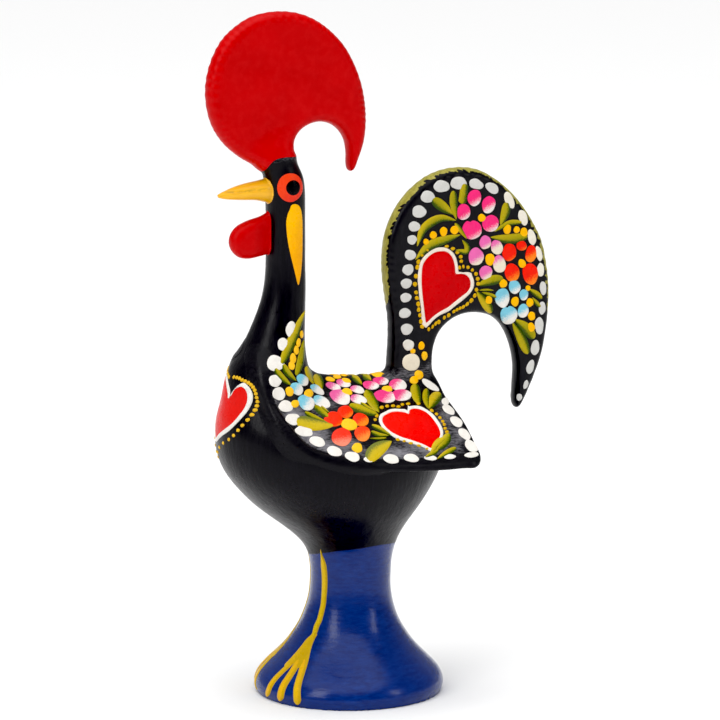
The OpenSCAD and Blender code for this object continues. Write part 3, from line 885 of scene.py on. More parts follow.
def body_pieces():
    def f(x, y, z):
        b, w = f_body(x, y, z), np.maximum(f_comb(x, y, z), x + 14)
        return np.maximum(smin(b, w, COMB_K), -f_hollow(x, y, z))

    def skin(x, y, z):
        return smin(f_body(x, y, z), np.maximum(f_comb(x, y, z), x + 14), COMB_K)

    V, Q = nets(f, (-57, -37.5, -2), (39, 37.5, 206), H)
    V = settle(V, f, 2)
    T = tris(Q)
    below = V[:, 2] - 48.0
    Vf, Tf, cf = clip(V, T, below, np.array([0, 0, 1.0]), (0, 1))
    Vb, Tb, cb = clip(V, T, -below, np.array([0, 0, -1.0]), (0, 1))
    # the foot stands flat
    Vf[:, 2] = np.where(Vf[:, 2] < 0.25, 0.0, Vf[:, 2])
    r = np.hypot(Vf[:, 0], Vf[:, 1])
    inner = f_hollow(*Vf.T) < 0.35
    mf = ((inner | (Vf[:, 2] < 0.05))[Tf].all(1) | cf).astype(int)
    mf[(mf == 0) & (over(Vf[Tf].mean(1)) > 0)] = 2
    build("foot_enamelled", Vf, Tf, cf, skin, (BLUE, CLAY, BLACK), mf, ("foot",))
    s = head_side(Vb)
    Vb, Tb, c2 = clip(Vb, Tb, s, np.array([-0.344, 0, 0.939]), (0, 1))
    cb2 = c2.copy()
    flat = (np.abs(Vb[Tb][:, :, 2] - 48.0) < 1e-4).all(1)
    cb2 |= flat
    for side, node in ((-1, "body_left_shell"), (1, "body_right_shell")):
        Vh, Th, ch = half(Vb, Tb, cb2, side)
        flat = (np.abs(Vh[Th][:, :, 2] - 48.0) < 1e-4).all(1) | (np.abs(head_side(Vh)[Th]) < 0.02).all(1)
        ch = ch | flat
        inner = np.abs(f_hollow(*Vh.T)) < 0.4
        mh = (inner[Th].all(1) | ch).astype(int)
        mh[(mh == 0) & (over(Vh[Th].mean(1)) < 0)] = 2
        x, y, z = Vh.T
        sc = sstep(-2.6, -0.2, head_side(Vh)) * sstep(-34, -30, x) * 0.28
        sc = np.maximum(sc, 0.3 * np.exp(-((x + 21) / 5) ** 2 - ((z - 121) / 6) ** 2) * sstep(9, 12, np.abs(y)))
        build(node.replace("_shell", "_half"), Vh, Th, ch, skin, (BLACK, CLAY, BLUE), mh, (node,), {"scuff": sc})


def wing_pieces():
    def f(x, y, z):
        s, w, n = f_stem(x, y, z), f_wing(x, y, z), f_neck(x, y, z)
        b = smin(s, n, neck_k(x))
        u = smin(smin(s, w, shoulder_k(x)), n, neck_k(x))
        reach = np.where(smax(s, -n, 1.0) < n, shoulder_k(x), neck_k(x))
        return np.maximum(u, np.maximum(-(b + 2.2), w - 0.85 * reach))

    V, Q = nets(f, (-52, -38, 80), (42, 38, 136), HF)
    V = settle(V, f, 2)
    T = tris(Q)
    for side, node in ((-1, "left_wing"), (1, "right_wing")):
        Vh, Th, ch = half(V, T, None, side)
        x, y, z = Vh.T
        # rubbed grey between the painted marks
        u, v = seen_at(np.column_stack([x, -np.abs(y), z]))
        sc = 0.0
        for cu, cv, ru, rv, k in [(273, 400, 7, 12, 0.7), (294, 414, 13, 10, 1.0), (313, 437, 15, 11, 1.0), (328, 448, 14, 9, 1.0), (347, 447, 15, 9, 0.9),
                                  (322, 406, 18, 12, 0.55), (395, 453, 36, 7, 0.95), (425, 447, 28, 10, 0.85), (455, 436, 16, 18, 0.6), (446, 412, 11, 20, 0.5),
                                  (415, 370, 22, 6, 0.6), (350, 372, 32, 5, 0.4)]:
            sc = np.maximum(sc, k * np.exp(-((u - cu) / ru) ** 2 - ((v - cv) / rv) ** 2))
        sc = sc * sstep(0.6, -0.8, PLAN(x, y)) * sstep(2.2, 0.8, np.abs(z - ROOF_Z(x, y)) - 1.5 * sstep(108, 112, z))
        build(node.replace("_wing", "_wing_slab"), Vh, Th, ch, f_all, (BLACK_BACK,), None, (node,), {"scuff": sc})


def tail_piece():
    def f(x, y, z):
        t, b = f_tail(x, y, z), f_back(x, y, z)
        u = smin(b, t, TAIL_K)
        return np.maximum(u, np.maximum(-(b + 2.2), t - 0.85 * TAIL_K))

    V, Q = nets(f, (8, -11, 96), (84, 11, 193), HF)
    V = settle(V, f, 2)
    x, y, z = V.T
    d = TAIL_D(x, z)
    a = np.arctan2(z - 150, x - 46)
    # olive on the rim's round: reach is how far short of the face its edge lies.
    # Black strokes of the brush run in from the face, mostly at the upper front.
    g = np.random.default_rng(5)
    n = 132
    t = (a + math.pi) / (2 * math.pi) * n + 0.35 * np.abs(y)
    k = np.floor(t).astype(int) % n
    stroke = (g.uniform(0, 1, n) ** 1.4)[k] * (1 - (2 * (t - np.floor(t)) - 1) ** 4)
    reach = np.interp(a, [-3.15, -3.0, -2.9, -2.82, -2.7, -2.5, -2.42, -1.1, -0.8, -0.4, 0.2, 0.9, 1.6, 2.2, 2.7, 3.15],
                      [-1.15, -1.35, -2.8, -6.6, -7.3, -7.4, -9, -9, -3.9, -0.2, -0.08, -0.15, -0.75, -0.9, -0.85, -1.15])
    reach = reach - stroke * np.interp(a, [-3.15, -2.9, -0.5, 0.8, 1.5, 1.9, 2.9, 3.15], [0.5, 0.3, 0.2, 0.4, 0.8, 1.9, 1.8, 0.5])
    far = np.maximum(reach, -1.6)
    near, far = np.maximum(-y - 3.9 - reach, -d - 2.6), np.maximum(y - 3.9 - far, -d - 2.6)
    outer = np.maximum(sstep(25, 22, x) + sstep(70.5, 73, x), sstep(139, 142, z))
    green = np.clip(0.5 - np.maximum(near, far) / 4, 0, 1) * np.clip(outer, 0, 1)
    scuff = 0.45 * np.exp(-((z - 116.5 - 0.12 * (x - 24)) / 2.4) ** 2) * sstep(42, 36, x)
    build("tail_slab", V, tris(Q), None, f_all, (TAILMAT,), None, ("tail",), {"green": green, "scuff": scuff})


def comb_piece():
    def f(x, y, z):
        return smin(f_comb(x, y, z), f_body(x, y, z), COMB_K)

    V, Q = nets(f, (-60, -11, 185), (11, 11, 254), HF)
    V = settle(V, f, 2)
    T = tris(Q)
    s = np.where(V[:, 0] > -15, -1.0, -head_side(V))
    V, T, c = clip(V, T, s, np.array([0.344, 0, -0.939]), (0, 1))
    build("comb_slab", V, T, c, f_all, (RED,), None, ("comb",))


def small_piece(name, shape, k, lo, hi, h, mat, node):
    def f(x, y, z):
        t, b = shape(x, y, z), f_body(x, y, z)
        return np.maximum(smin(b, t, k), np.maximum(-(b + 1.6), t - 0.85 * k))

    V, Q = nets(f, lo, hi, h)
    V = settle(V, f, 2, 0.3)
    build(name, V, tris(Q), None, None, (mat,), None, (node,))


body_pieces()
wing_pieces()
tail_piece()
comb_piece()
small_piece("beak_cone", f_beak, BEAK_K, (-54, -8, 177), (-26, 8, 196), 0.3, YELLOW, "beak")
small_piece("wattle_lobe", f_wattle, WATTLE_K, (-50, -6, 158), (-27, 6, 184), 0.38, RED, "wattle")

# ------------------------------------------------------------------ painted pattern
WHITE, GREY, CREAM, YEL, BEAD = (233, 229, 222), (208, 207, 203), (232, 222, 200), (250, 184, 14), (212, 166, 20)
PALE = (248, 192, 40)
OLIVE, DARK, LEAFY = (150, 144, 18), (54, 76, 16), (198, 172, 34)
PINK, LILAC, SKY, HOT, ORANGE = (242, 48, 122), (230, 104, 172), (122, 194, 214), (240, 34, 16), (250, 134, 34)


def cast(O, D, f, t0, t1):
    """First points of f = 0 along rays; a ray that just misses takes the nearest point of the rim."""
    t = np.full(len(O), float(t0))
    best, tb = np.full(len(O), 1e9), t.copy()
    act = np.arange(len(O))
    for _ in range(120):
        d = f(*(O[act] + D[act] * t[act, None]).T)
        m = d < best[act]
        best[act[m]], tb[act[m]] = d[m], t[act[m]]
        t[act] += np.maximum(d, 0.03) * 0.85
        act = act[(d > 0.02) & (t[act] < t1)]
        if not len(act):
            break
    return settle(O + D * tb[:, None], f, 4, 0.4)


RINGS = ((0.16, 0.32, 0.48, 0.63, 0.77, 0.88, 0.95, 0.985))


class Paint:
    """Closed thin dabs of enamel, drawn in a flat view and then laid on the form.
    A point is (right, up, height over the surface in mm); each carries two colours and how far it is from the first to the second."""

    def __init__(s):
        s.P, s.F, s.A, s.B, s.M, s.n = [], [], [], [], [], 0
        s.g = np.random.default_rng(77)

    def put(s, P, F, A, B, M):
        s.P.append(P)
        s.F.append(np.asarray(F) + s.n)
        s.n += len(P)
        A, B = [np.broadcast_to(np.array(lin(*c)) if np.ndim(c) == 1 else c, (len(P), 3)) for c in (A, B)]
        s.A.append(A)
        s.B.append(B)
        s.M.append(np.broadcast_to(M, (len(P),)))

    def disc(s, rim, h, A, B=None, tilt=(1, 0.7), mid=0.5, centre=None, rings=RINGS, dome=0.25):
        """A dab inside a rim of points that its centre sees."""
        rim = np.asarray(rim, float)
        area = np.sum(rim[:, 0] * np.roll(rim[:, 1], -1) - rim[:, 1] * np.roll(rim[:, 0], -1))
        if area < 0:
            rim = rim[::-1]
        c = rim.mean(0) if centre is None else np.asarray(centre, float)
        n = len(rim)
        rr = list(rings) + [1.0]
        lump = s.g.uniform(-1, 1, 3)
        top = [[*c, h]]
        for r in rr:
            q = c + r * (rim - c)
            th = np.arange(n) / n * 2 * math.pi
            hh = h * (1 - dome * r * r) * (1 - r ** 9) ** 0.5 if r < 1 else 0
            w = 1 + 0.06 * r * (lump[0] * np.cos(th) + lump[1] * np.sin(2 * th) + lump[2] * np.cos(3 * th))
            top.append(np.column_stack([q, np.full(n, hh) * w]))
        P = np.vstack([np.array(top[0])[None]] + top[1:])
        k = len(rr)
        low = P[1 + (k - 1) * n:].copy()
        low[:, 2] = -0.2
        P = np.vstack([P, low, [[*c, -0.3]]])
        i = np.arange(n)
        j = (i + 1) % n
        F = [np.column_stack([np.zeros(n, int), 1 + i, 1 + j])]
        for q in range(k):
            a, b = 1 + q * n, 1 + (q + 1) * n
            F += [np.column_stack([a + i, b + i, b + j]), np.column_stack([a + i, b + j, a + j])]
        F.append(np.column_stack([1 + (k + 1) * n + 0 * i, 1 + k * n + j, 1 + k * n + i]))
        B = A if B is None else B
        tv = np.array(tilt, float)
        tv /= np.linalg.norm(tv)
        tv = tv * [1, -1]
        size = np.abs((rim - c) @ tv).max() + 1e-9
        M = 0.5 + 0.5 * ((P[:, :2] - c) @ tv) / size
        s.put(P, np.vstack(F), A, B, M + 0.5 - mid)

    def dot(s, x, y, a, b=None, rot=0, h=0.26, A=WHITE, B=None, n=32, rough=0.05, notch=0, **kw):
        b = a if b is None else b
        th = np.arange(n) / n * 2 * math.pi
        ph = s.g.uniform(0, 6.28, 3)
        am = s.g.uniform(0.4, 1, 3) * rough
        r = 1 + am[0] * np.cos(2 * th + ph[0]) + am[1] * np.cos(3 * th + ph[1]) + 0.5 * am[2] * np.cos(5 * th + ph[2])
        if notch:
            q = (th - math.pi / 2 - 0.2 + math.pi) % (2 * math.pi) - math.pi
            r = r - notch * np.exp(-(q / 0.2) ** 2)
        ex, ey = a * r * np.cos(th), b * r * np.sin(th)
        k = math.radians(rot)
        rim = np.column_stack([x + ex * math.cos(k) - ey * -math.sin(k), -y + ex * -math.sin(k) + ey * math.cos(k)])
        s.disc(rim, h, A, B, **kw)

    def strip(s, path, wid, h, A, B=None, across=7, M=None, side=0, ends=0.0):
        """A stroke along a path of points, wid wide at each."""
        path = np.asarray(path, float)
        t = np.gradient(path, axis=0)
        t /= np.linalg.norm(t, axis=1)[:, None] + 1e-12
        nn = np.column_stack([-t[:, 1], t[:, 0]])
        u = np.linspace(-1, 1, across)
        k, m = len(path), across
        P = np.zeros((k, m, 3))
        P[:, :, :2] = path[:, None] - nn[:, None] * (wid[:, None] / 2 * u)[:, :, None]
        sag = np.clip(wid / (wid.max() * 0.3 + 1e-9), 0, 1) ** 0.5
        P[:, :, 2] = h * sag[:, None] * (1 - 0.3 * u ** 2) * np.sqrt(np.maximum(1 - np.abs(u) ** 7, 0))
        P[0, :, 2] = P[-1, :, 2] = 0
        top = P.reshape(-1, 3)
        low = P[:, [0, -1]].copy()
        low[:, :, 2] = -0.2
        o = k * m
        F = []
        for i in range(k - 1):
            for j in range(m - 1):
                a, b, c, d = i * m + j, i * m + j + 1, (i + 1) * m + j + 1, (i + 1) * m + j
                F += [(a, b, c), (a, c, d)]
            l0, r0, l1, r1 = o + 2 * i, o + 2 * i + 1, o + 2 * i + 2, o + 2 * i + 3
            F += [(l0, l1, r1), (l0, r1, r0)]
            F += [(i * m, (i + 1) * m, l1), (i * m, l1, l0)]
            F += [(i * m + m - 1, r0, r1), (i * m + m - 1, r1, (i + 1) * m + m - 1)]
        for i, way in ((0, 1), (k - 1, -1)):
            q = [i * m + j for j in range(m)]
            l0, r0 = o + 2 * i, o + 2 * i + 1
            tri = [(l0, r0, q[-1])] + [(l0, q[j + 1], q[j]) for j in range(m - 1)]
            F += [x if way == 1 else x[::-1] for x in tri]
        uu = np.concatenate([np.tile(u, k), np.tile([-1, 1], k)])
        s.put(np.vstack([top, low.reshape(-1, 3)]), F, A, A if B is None else B, 0.5 + 0.5 * uu * side if M is None else M)

    def leaf(s, pts, wide, kind="leaf", h=0.3, A=OLIVE, B=DARK, n=25, light=None):
        """A one-stroke leaf: round where the brush was pressed, drawn to a point. Darker towards the lower right."""
        pts = np.asarray(pts, float) * [1, -1]
        q = np.vstack([2 * pts[0] - pts[1], pts, 2 * pts[-1] - pts[-2]])
        out = []
        for i in range(len(pts) - 1):
            a, b, c, d = q[i:i + 4]
            for v in np.linspace(0, 1, 8, endpoint=False):
                out.append(0.5 * (2 * b + (c - a) * v + (2 * a - 5 * b + 4 * c - d) * v * v + (3 * b - a - 3 * c + d) * v ** 3))
        out = np.array(out + [pts[-1]])
        arc = np.concatenate([[0], np.cumsum(np.linalg.norm(np.diff(out, axis=0), axis=1))])
        v = np.linspace(0, 1, n)
        v = v + 0.06 * np.sin(2 * math.pi * v) * -1
        path = np.column_stack([np.interp(v * arc[-1], arc, out[:, i]) for i in (0, 1)])
        v = np.clip(v, 1e-4, 1 - 1e-4)
        if kind == "leaf":
            w = v ** 0.45 * (1 - v) ** 0.75 / 0.452
        elif kind == "blade":
            w = np.sin(math.pi * v) ** 0.75
        elif kind == "shin":  # drawn from a fine point
            w = (0.12 + 0.88 * sstep(0, 0.2, v)) * (1 - 0.1 * sstep(0.35, 0.6, v)) * np.minimum(1, (1 - v) * 9) ** 0.5
        elif kind == "toe":  # wider towards its blunt end
            w = (0.9 + 0.1 * sstep(0.3, 0.8, v)) * np.minimum(1, np.minimum(v, 1 - v) * 12) ** 0.5
        else:
            w = np.minimum(1, np.minimum(v, 1 - v) * 9) ** 0.5
        w = np.maximum(w * wide, 0.12 * wide * 0.3)
        t = out[-1] - out[0]
        right = np.array([t[1], -t[0]])
        side = 1.0 if right @ np.array([0.75, -1.0]) > 0 else -1.0
        if light is not None and light < 0:  # the yellow lies on the lower side instead
            side, light = -side, -light
        u = np.linspace(-1, 1, 9)
        uu = np.concatenate([np.tile(u, n), np.tile([-1, 1], n)]) * side
        vv = np.concatenate([np.repeat(v, 9), np.repeat(v, 2)])
        yel = np.clip(0.35 - 0.9 * uu + 0.35 * np.sin(3 * vv + s.g.uniform(0, 6)), 0, 1)[:, None] * (0.5 if light is None else light)
        Ac = np.array(lin(*A)) * (1 - yel) + np.array(lin(*LEAFY)) * yel
        s.strip(path, w, h, Ac, B, 9, np.clip(0.12 + 0.62 * uu + 0.2, 0, 1))

    def heart(s, pts, centre, band, h, A, B=None, ring=WHITE, wide=3.6, n=96):
        """A filled heart with its painted outline. pts run round the red, band is the outline's object."""
        c = closed_curve(np.asarray(pts, float) * [1, -1], 10)
        arc = np.concatenate([[0], np.cumsum(np.linalg.norm(np.diff(np.vstack([c, c[:1]]), axis=0), axis=1))])
        cc = np.vstack([c, c[:1]])
        v = np.linspace(0, arc[-1], n, endpoint=False)
        rim = np.column_stack([np.interp(v, arc, cc[:, i]) for i in (0, 1)])
        o = np.asarray(centre, float) * [1, -1]
        s.disc(rim, h, A, B, centre=o, rings=(0.12, 0.24, 0.36, 0.48, 0.6, 0.7, 0.8, 0.88, 0.94, 0.98), dome=0.1, mid=0.42)
        t = np.roll(rim, -1, axis=0) - np.roll(rim, 1, axis=0)
        t /= np.linalg.norm(t, axis=1)[:, None]
        if np.sum(rim[:, 0] * np.roll(rim[:, 1], -1) - rim[:, 1] * np.roll(rim[:, 0], -1)) < 0:
            rim, t = rim[::-1], -t[::-1]
        nn = np.column_stack([t[:, 1], -t[:, 0]])
        rad = (rim - o) / np.linalg.norm(rim - o, axis=1)[:, None]
        lean = np.clip((nn * rad).sum(1), 0.5, 1)
        wob = 1 + 0.08 * np.sin(np.arange(n) / n * 6.28 * 5 + 1) + 0.06 * np.sin(np.arange(n) / n * 6.28 * 11)
        a, b = rim - rad * 0.5, rim + rad * (wide * wob / lean)[:, None]
        m = 6
        P = []
        for j, u in enumerate(np.linspace(-1, 1, m)):
            q = a + (b - a) * (u + 1) / 2
            P.append(np.column_stack([q, np.full(n, (h + 0.06) * math.sqrt(max(1 - abs(u) ** 5, 0)))]))
        for q in (b, a):
            P.append(np.column_stack([q, np.full(n, -0.2)]))
        P = np.stack(P)
        i = np.arange(n)
        k = (i + 1) % n
        F = []
        L = len(P)
        for j in range(L):
            p0, p1 = j * n, ((j + 1) % L) * n
            F += [np.column_stack([p0 + i, p1 + i, p1 + k]), np.column_stack([p0 + i, p1 + k, p0 + k])]
        band.put(P.reshape(-1, 3), np.vstack(F), ring, ring, 0.0)

    def lay(s, name, how, mirror=True, slot=None, mat=None, turn=0.0):
        """turn sets the copy on the other side further round, in degrees."""
        P, F = np.vstack(s.P), np.vstack(s.F)
        S, N = how(P[:, 0], P[:, 1])
        V = S + N * P[:, 2:3]
        A, B, M = np.vstack(s.A), np.vstack(s.B), np.concatenate(s.M)
        if mirror:
            V2 = V * [1, -1, 1]
            if turn:
                k = np.radians(turn) * (1 + 0.6 * sstep(34, 12, S[:, 2]))
                c, q = np.cos(k), np.sin(k)
                S2 = settle(np.column_stack([S[:, 0] * c + S[:, 1] * q, S[:, 0] * q - S[:, 1] * c, S[:, 2]]), f_all, 4, 0.4)
                N2 = grad(f_all, S2, 0.2)
                V2 = S2 + N2 / (np.linalg.norm(N2, axis=1)[:, None] + 1e-9) * P[:, 2:3]
            V = np.vstack([V, V2])
            F = np.vstack([F, F[:, ::-1] + len(P)])
            A, B, M = np.vstack([A, A]), np.vstack([B, B]), np.concatenate([M, M])
        build(name, V, F, None, None, (mat or PAINT,), None, (), {"paint": A, "paint2": B, "blend": M})


def photo_view(u, up):
    """Lays points of the main view on the form."""
    D = ray(u, -up)
    P = cast(np.broadcast_to(CAM, D.shape), D, f_all, 1640, 1980)
    N = grad(f_all, P, 0.2)
    return P, N / (np.linalg.norm(N, axis=1)[:, None] + 1e-9)


def front_view(a, up):
    """Lays points of the front view (right is the bird's left) on the breast."""
    O = np.column_stack([np.full(len(a), -90.0), -a, up])
    D = np.broadcast_to(np.array([1.0, 0, 0]), O.shape)
    P = cast(O, D, f_all, 0, 80)
    N = grad(f_all, P, 0.2)
    return P, N / (np.linalg.norm(N, axis=1)[:, None] + 1e-9)


class Crop:
    """Moves marks set out in an enlarged part of the view into the whole view."""

    def __init__(s, x, y, k):
        s.x, s.y, s.k = x, y, k

    def dots(s, p, rows, **kw):
        for r in rows:
            x, y, a = r[:3]
            b = r[3] if len(r) > 3 else a
            rot = r[4] if len(r) > 4 else 0
            p.dot(s.x + x / s.k, s.y + y / s.k, a / s.k, b / s.k, rot, **kw)

    def petals(s, p, rows, A, B, mid=0.5, tilt=(0.6, 1), **kw):
        for r in rows:
            x, y, a, b = r[:4]
            rot = r[4] if len(r) > 4 else 0
            m = r[5] if len(r) > 5 else mid
            p.dot(s.x + x / s.k, s.y + y / s.k, a / s.k, b / s.k, rot, A=A, B=B, mid=m, tilt=tilt, h=0.34, rough=0.035,
                  notch=r[6] if len(r) > 6 else 0, n=40, **kw)

    def leaves(s, p, rows, **kw):
        for r in rows:
            pts = [(s.x + x / s.k, s.y + y / s.k) for x, y in r[0]]
            p.leaf(pts, r[1] / s.k, r[2] if len(r) > 2 else "leaf", light=r[3] if len(r) > 3 else None, **kw)


T = Crop(400, 170, 9.8)      # tail
R = Crop(300, 350, 8.711)    # back, rear part
L = Crop(215, 300, 8.476)    # back, front part, and breast
K = Crop(360, 150, 5.807)    # tail, lower parts
E = Crop(255, 140, 9.8)      # head
G = Crop(240, 520, 7.127)    # legs

white, yellow, bead, leaf, petal, heart, band = [Paint() for _ in range(7)]

# tail, round its edge
T.dots(white, [(1067, 298, 42, 88, -25), (1203, 470, 42, 80, -20), (1290, 662, 38, 80, -14), (1360, 820, 31, 74, -12), (1375, 980, 35, 68, -4)], A=(232, 226, 212))
T.dots(white, [(410, 162, 78, 60, 5), (575, 130, 82, 60), (745, 140, 70, 50, 18), (900, 180, 70, 48, 42), (1398, 1160, 33, 66, -4), (1390, 1355, 33, 64),
               (275, 265, 72, 58), (190, 410, 69, 61), (143, 556, 56, 51), (120, 685, 48, 46), (102, 832, 54, 51),
               (80, 975, 56, 53), (62, 1110, 54, 50), (55, 1250, 53, 48), (45, 1403, 56, 51), (65, 1560, 59, 55)], A=GREY)
K.dots(white, [(1040, 1020, 26, 48), (1017, 1147, 24, 46, 8), (990, 1260, 21, 42, 14), (963, 1363, 13, 27, 16), (925, 1437, 17, 20)], A=GREY)
K.dots(white, [(281, 1132, 33, 32)], A=(222, 218, 208), h=0.34)
K.dots(white, [(300, 1232, 47.5, 48)], A=CREAM, h=0.34)
T.dots(yellow, [(535, 593, 40, 43), (428, 608, 36, 46), (328, 642, 34, 38), (257, 707, 28, 30), (1050, 582, 37, 52), (1142, 590, 30, 34),
                (1213, 615, 38, 45), (1008, 1115, 38, 44), (867, 1275, 36, 42), (1250, 1160, 25, 27), (1270, 1300, 34, 43),
                (1288, 1432, 34, 42), (1283, 1540, 38, 45), (800, 472, 36, 40), (880, 882, 46, 58), (1193, 920, 36, 44), (1125, 1290, 38, 46)],
       A=YEL, h=0.42)
K.dots(yellow, [(994, 963, 20, 25), (994, 1033, 20, 25), (357, 1137, 17.5, 25), (374, 1195, 17, 22), (305, 1167, 13, 14), (343, 1306, 24, 26), (315, 1335, 24, 23)], A=YEL, h=0.42)
T.petals(petal, [(728, 275, 66, 82, 5, .74), (866, 343, 64, 86, 10, .62), (622, 415, 66, 82, 5, .76), (705, 590, 97, 95, 0, .82, .22), (887, 528, 80, 84, 0, .76)],
         PINK, WHITE)
T.petals(petal, [(835, 715, 57, 68, 5, .72), (948, 762, 60, 72, -10, .34), (745, 855, 73, 88, 8, .66), (972, 928, 62, 86, -12, .26), (840, 1010, 64, 68, 10, .66)],
         LILAC, CREAM)
T.petals(petal, [(1070, 812, 68, 88, 5, .9), (1190, 745, 52, 50, 0, .8), (1282, 825, 55, 85, 12, .5), (1095, 1010, 72, 90, -5, .66), (1275, 1020, 78, 104, -8, .72)],
         HOT, ORANGE)
T.petals(petal, [(1120, 1150, 56, 68, -5, .6), (1002, 1255, 72, 92, -5, .5), (1210, 1225, 43, 55, 0, .7), (1065, 1420, 82, 92, 0, .5, .2), (1205, 1380, 52, 70, 5, .5)],
         SKY, WHITE)
T.leaves(leaf, [([(318, 285), (400, 350), (520, 442)], 105), ([(525, 205), (528, 340), (552, 490)], 78), ([(632, 132), (622, 240), (608, 335)], 78, "stroke"),
                ([(170, 750), (235, 580), (390, 480), (552, 500)], 88, "blade", .9), ([(152, 880), (285, 750), (440, 690), (596, 640)], 92, "blade", .7),
                ([(540, 525), (598, 600), (655, 680)], 46, "leaf", .9), ([(610, 690), (655, 750), (648, 806), (545, 790)], 58, "blade"),
                ([(1040, 318), (1030, 420), (985, 545)], 88), ([(1192, 515), (1060, 528), (925, 608)], 56, "leaf", .7),
                ([(1250, 655), (1080, 680), (885, 665)], 98, "leaf", .5), ([(1010, 1070), (900, 1085), (762, 1132)], 95), ([(918, 1182), (850, 1178), (775, 1180)], 26, "blade"),
                ([(895, 1400), (835, 1300), (752, 1190)], 92, "leaf", .9), ([(945, 1248), (880, 1225), (800, 1200)], 40),
                ([(1385, 1262), (1330, 1215), (1258, 1168)], 58), ([(1372, 1345), (1330, 1300), (1288, 1250)], 44)])
K.leaves(leaf, [([(1010, 1095), (965, 1035), (898, 982)], 62), ([(975, 1185), (935, 1090), (885, 1000)], 56)])


def crop_heart(c, pts, centre, h, A, B, ring, wide):
    heart.heart([(c.x + x / c.k, c.y + y / c.k) for x, y in pts], (c.x + centre[0] / c.k, c.y + centre[1] / c.k), band, h, A, B, ring, wide)


crop_heart(T, [(455, 801), (500, 836), (528, 890), (541, 950), (546, 1012), (552, 1022), (600, 1020), (645, 1030), (678, 1058), (694, 1100), (690, 1150),
               (662, 1198), (610, 1240), (545, 1290), (470, 1350), (400, 1388), (330, 1436), (258, 1505), (254, 1508), (240, 1420), (228, 1320),
               (215, 1200), (209, 1100), (211, 1000), (222, 930), (252, 878), (300, 832), (350, 806), (405, 797)],
           (420, 1060), 0.24, (208, 5, 8), (196, 4, 8), (236, 224, 210), 3.2)
T.dots(bead, [(460, 752, 21, 15), (520, 775, 22, 17), (565, 812, 20, 18), (597, 855, 19), (602, 898, 18), (585, 960, 16, 20), (622, 950, 14, 18),
              (668, 958, 17, 18), (710, 985, 16, 17), (745, 1022, 19), (762, 1070, 19, 20), (768, 1118, 22, 20), (750, 1175, 18, 20), (733, 1232, 17, 24, 20),
              (700, 1280, 18, 26, 30), (660, 1315, 15, 26, 40), (622, 1342, 15, 22, 30), (590, 1356, 14, 20, 30), (560, 1370, 14, 20, 30), (530, 1388, 14, 21, 30),
              (478, 1425, 17, 24, 25), (436, 1448, 15, 20, 25), (380, 1492, 18, 24, 20), (350, 1508, 14, 24, 20), (320, 1538, 12, 22, 20), (282, 1562, 15, 20),
              (268, 788, 20, 16), (215, 835, 20, 18), (182, 900, 20, 24, 20), (172, 952, 20, 26, 20), (158, 1040, 21, 24), (148, 1118, 22, 24), (158, 1200, 20),
              (165, 1255, 21), (178, 1315, 21, 26), (182, 1370, 19, 24), (195, 1425, 19, 22), (205, 1487, 20, 26), (218, 1535, 22, 22)], A=BEAD, n=14, rings=(0.6,), h=0.32)

# back, round its edge
L.dots(white, [(643, 247, 43, 68, 8), (578, 376, 47, 57), (512, 537, 72, 70), (510, 686, 53), (541, 795, 55), (598, 900, 62, 48), (660, 1010, 65, 47, 10)])
R.dots(white, [(33, 705, 78, 48, 15), (148, 797, 72, 42, 22), (298, 882, 66, 44, 18), (455, 928, 66, 42, 18), (600, 952, 46, 24, 5), (795, 948, 72, 38, 8),
               (972, 940, 66, 36, 8), (1140, 940, 56, 22, 3), (1305, 930, 55, 22), (1495, 915, 62, 24, -4), (1492, 838, 70, 40, 44), (1434, 732, 62, 38, 42),
               (1364, 622, 62, 38, 40), (1295, 517, 60, 34, 36), (1270, 445, 34, 34, 30), (1135, 305, 86, 30, 32)])
R.dots(white, [(967, 105, 74, 76)], A=CREAM, h=0.34)
R.dots(yellow, [(983, 10, 22), (1085, 50, 26, 38), (1035, 215, 38, 40, -10), (993, 262, 38, 34), (497, 852, 48, 42), (265, 255, 42, 20, 12), (325, 232, 35, 20, 8),
                (403, 270, 42, 24, 15), (670, 208, 48, 28, 10), (385, 218, 28, 12, 5), (762, 340, 48, 28, 6), (410, 365, 50, 30, 14), (75, 378, 40, 38, 10),
                (428, 650, 70, 52, 12)], A=PALE, h=0.42)
L.dots(yellow, [(735, 288, 14, 34), (708, 360, 18, 38, 4), (690, 425, 22, 38), (662, 495, 26, 45), (650, 555, 27, 38), (632, 775, 37, 40), (677, 880, 35, 33)], A=PALE, h=0.42)
R.petals(petal, [(618, 307, 72, 38, 10, .56), (705, 268, 72, 34, 5, .6), (855, 302, 76, 52, 8, .4), (742, 402, 98, 56, 12, .66), (888, 390, 84, 52, 5, .55)],
         (226, 62, 128), WHITE, tilt=(1, .8))
R.petals(petal, [(290, 315, 70, 30, 18, .5), (380, 290, 66, 32, 16, .4), (502, 345, 66, 32, 15, .3), (352, 408, 98, 60, 24, .46), (512, 430, 74, 40, 14, .26)],
         (220, 92, 152), WHITE, tilt=(1, .8))
R.petals(petal, [(150, 343, 68, 34, 32, .3), (188, 451, 80, 50, 28, .26)], SKY, WHITE, tilt=(1, .8))
L.petals(petal, [(742, 677, 58, 42, 42, .52), (692, 752, 62, 47, 38, .45), (773, 869, 78, 60, 34, .48)], SKY, WHITE, tilt=(1, .5))
R.petals(petal, [(290, 603, 82, 66, 10, .95), (395, 540, 70, 55, 8, .8), (530, 608, 70, 58, 18, .6)], (240, 48, 22), ORANGE)
R.petals(petal, [(362, 757, 88, 82, 0, .6)], (236, 54, 34), (240, 138, 112), tilt=(.15, 1))
R.petals(petal, [(545, 728, 72, 66, 20, .56)], (236, 66, 26), (246, 140, 60), tilt=(.5, 1))
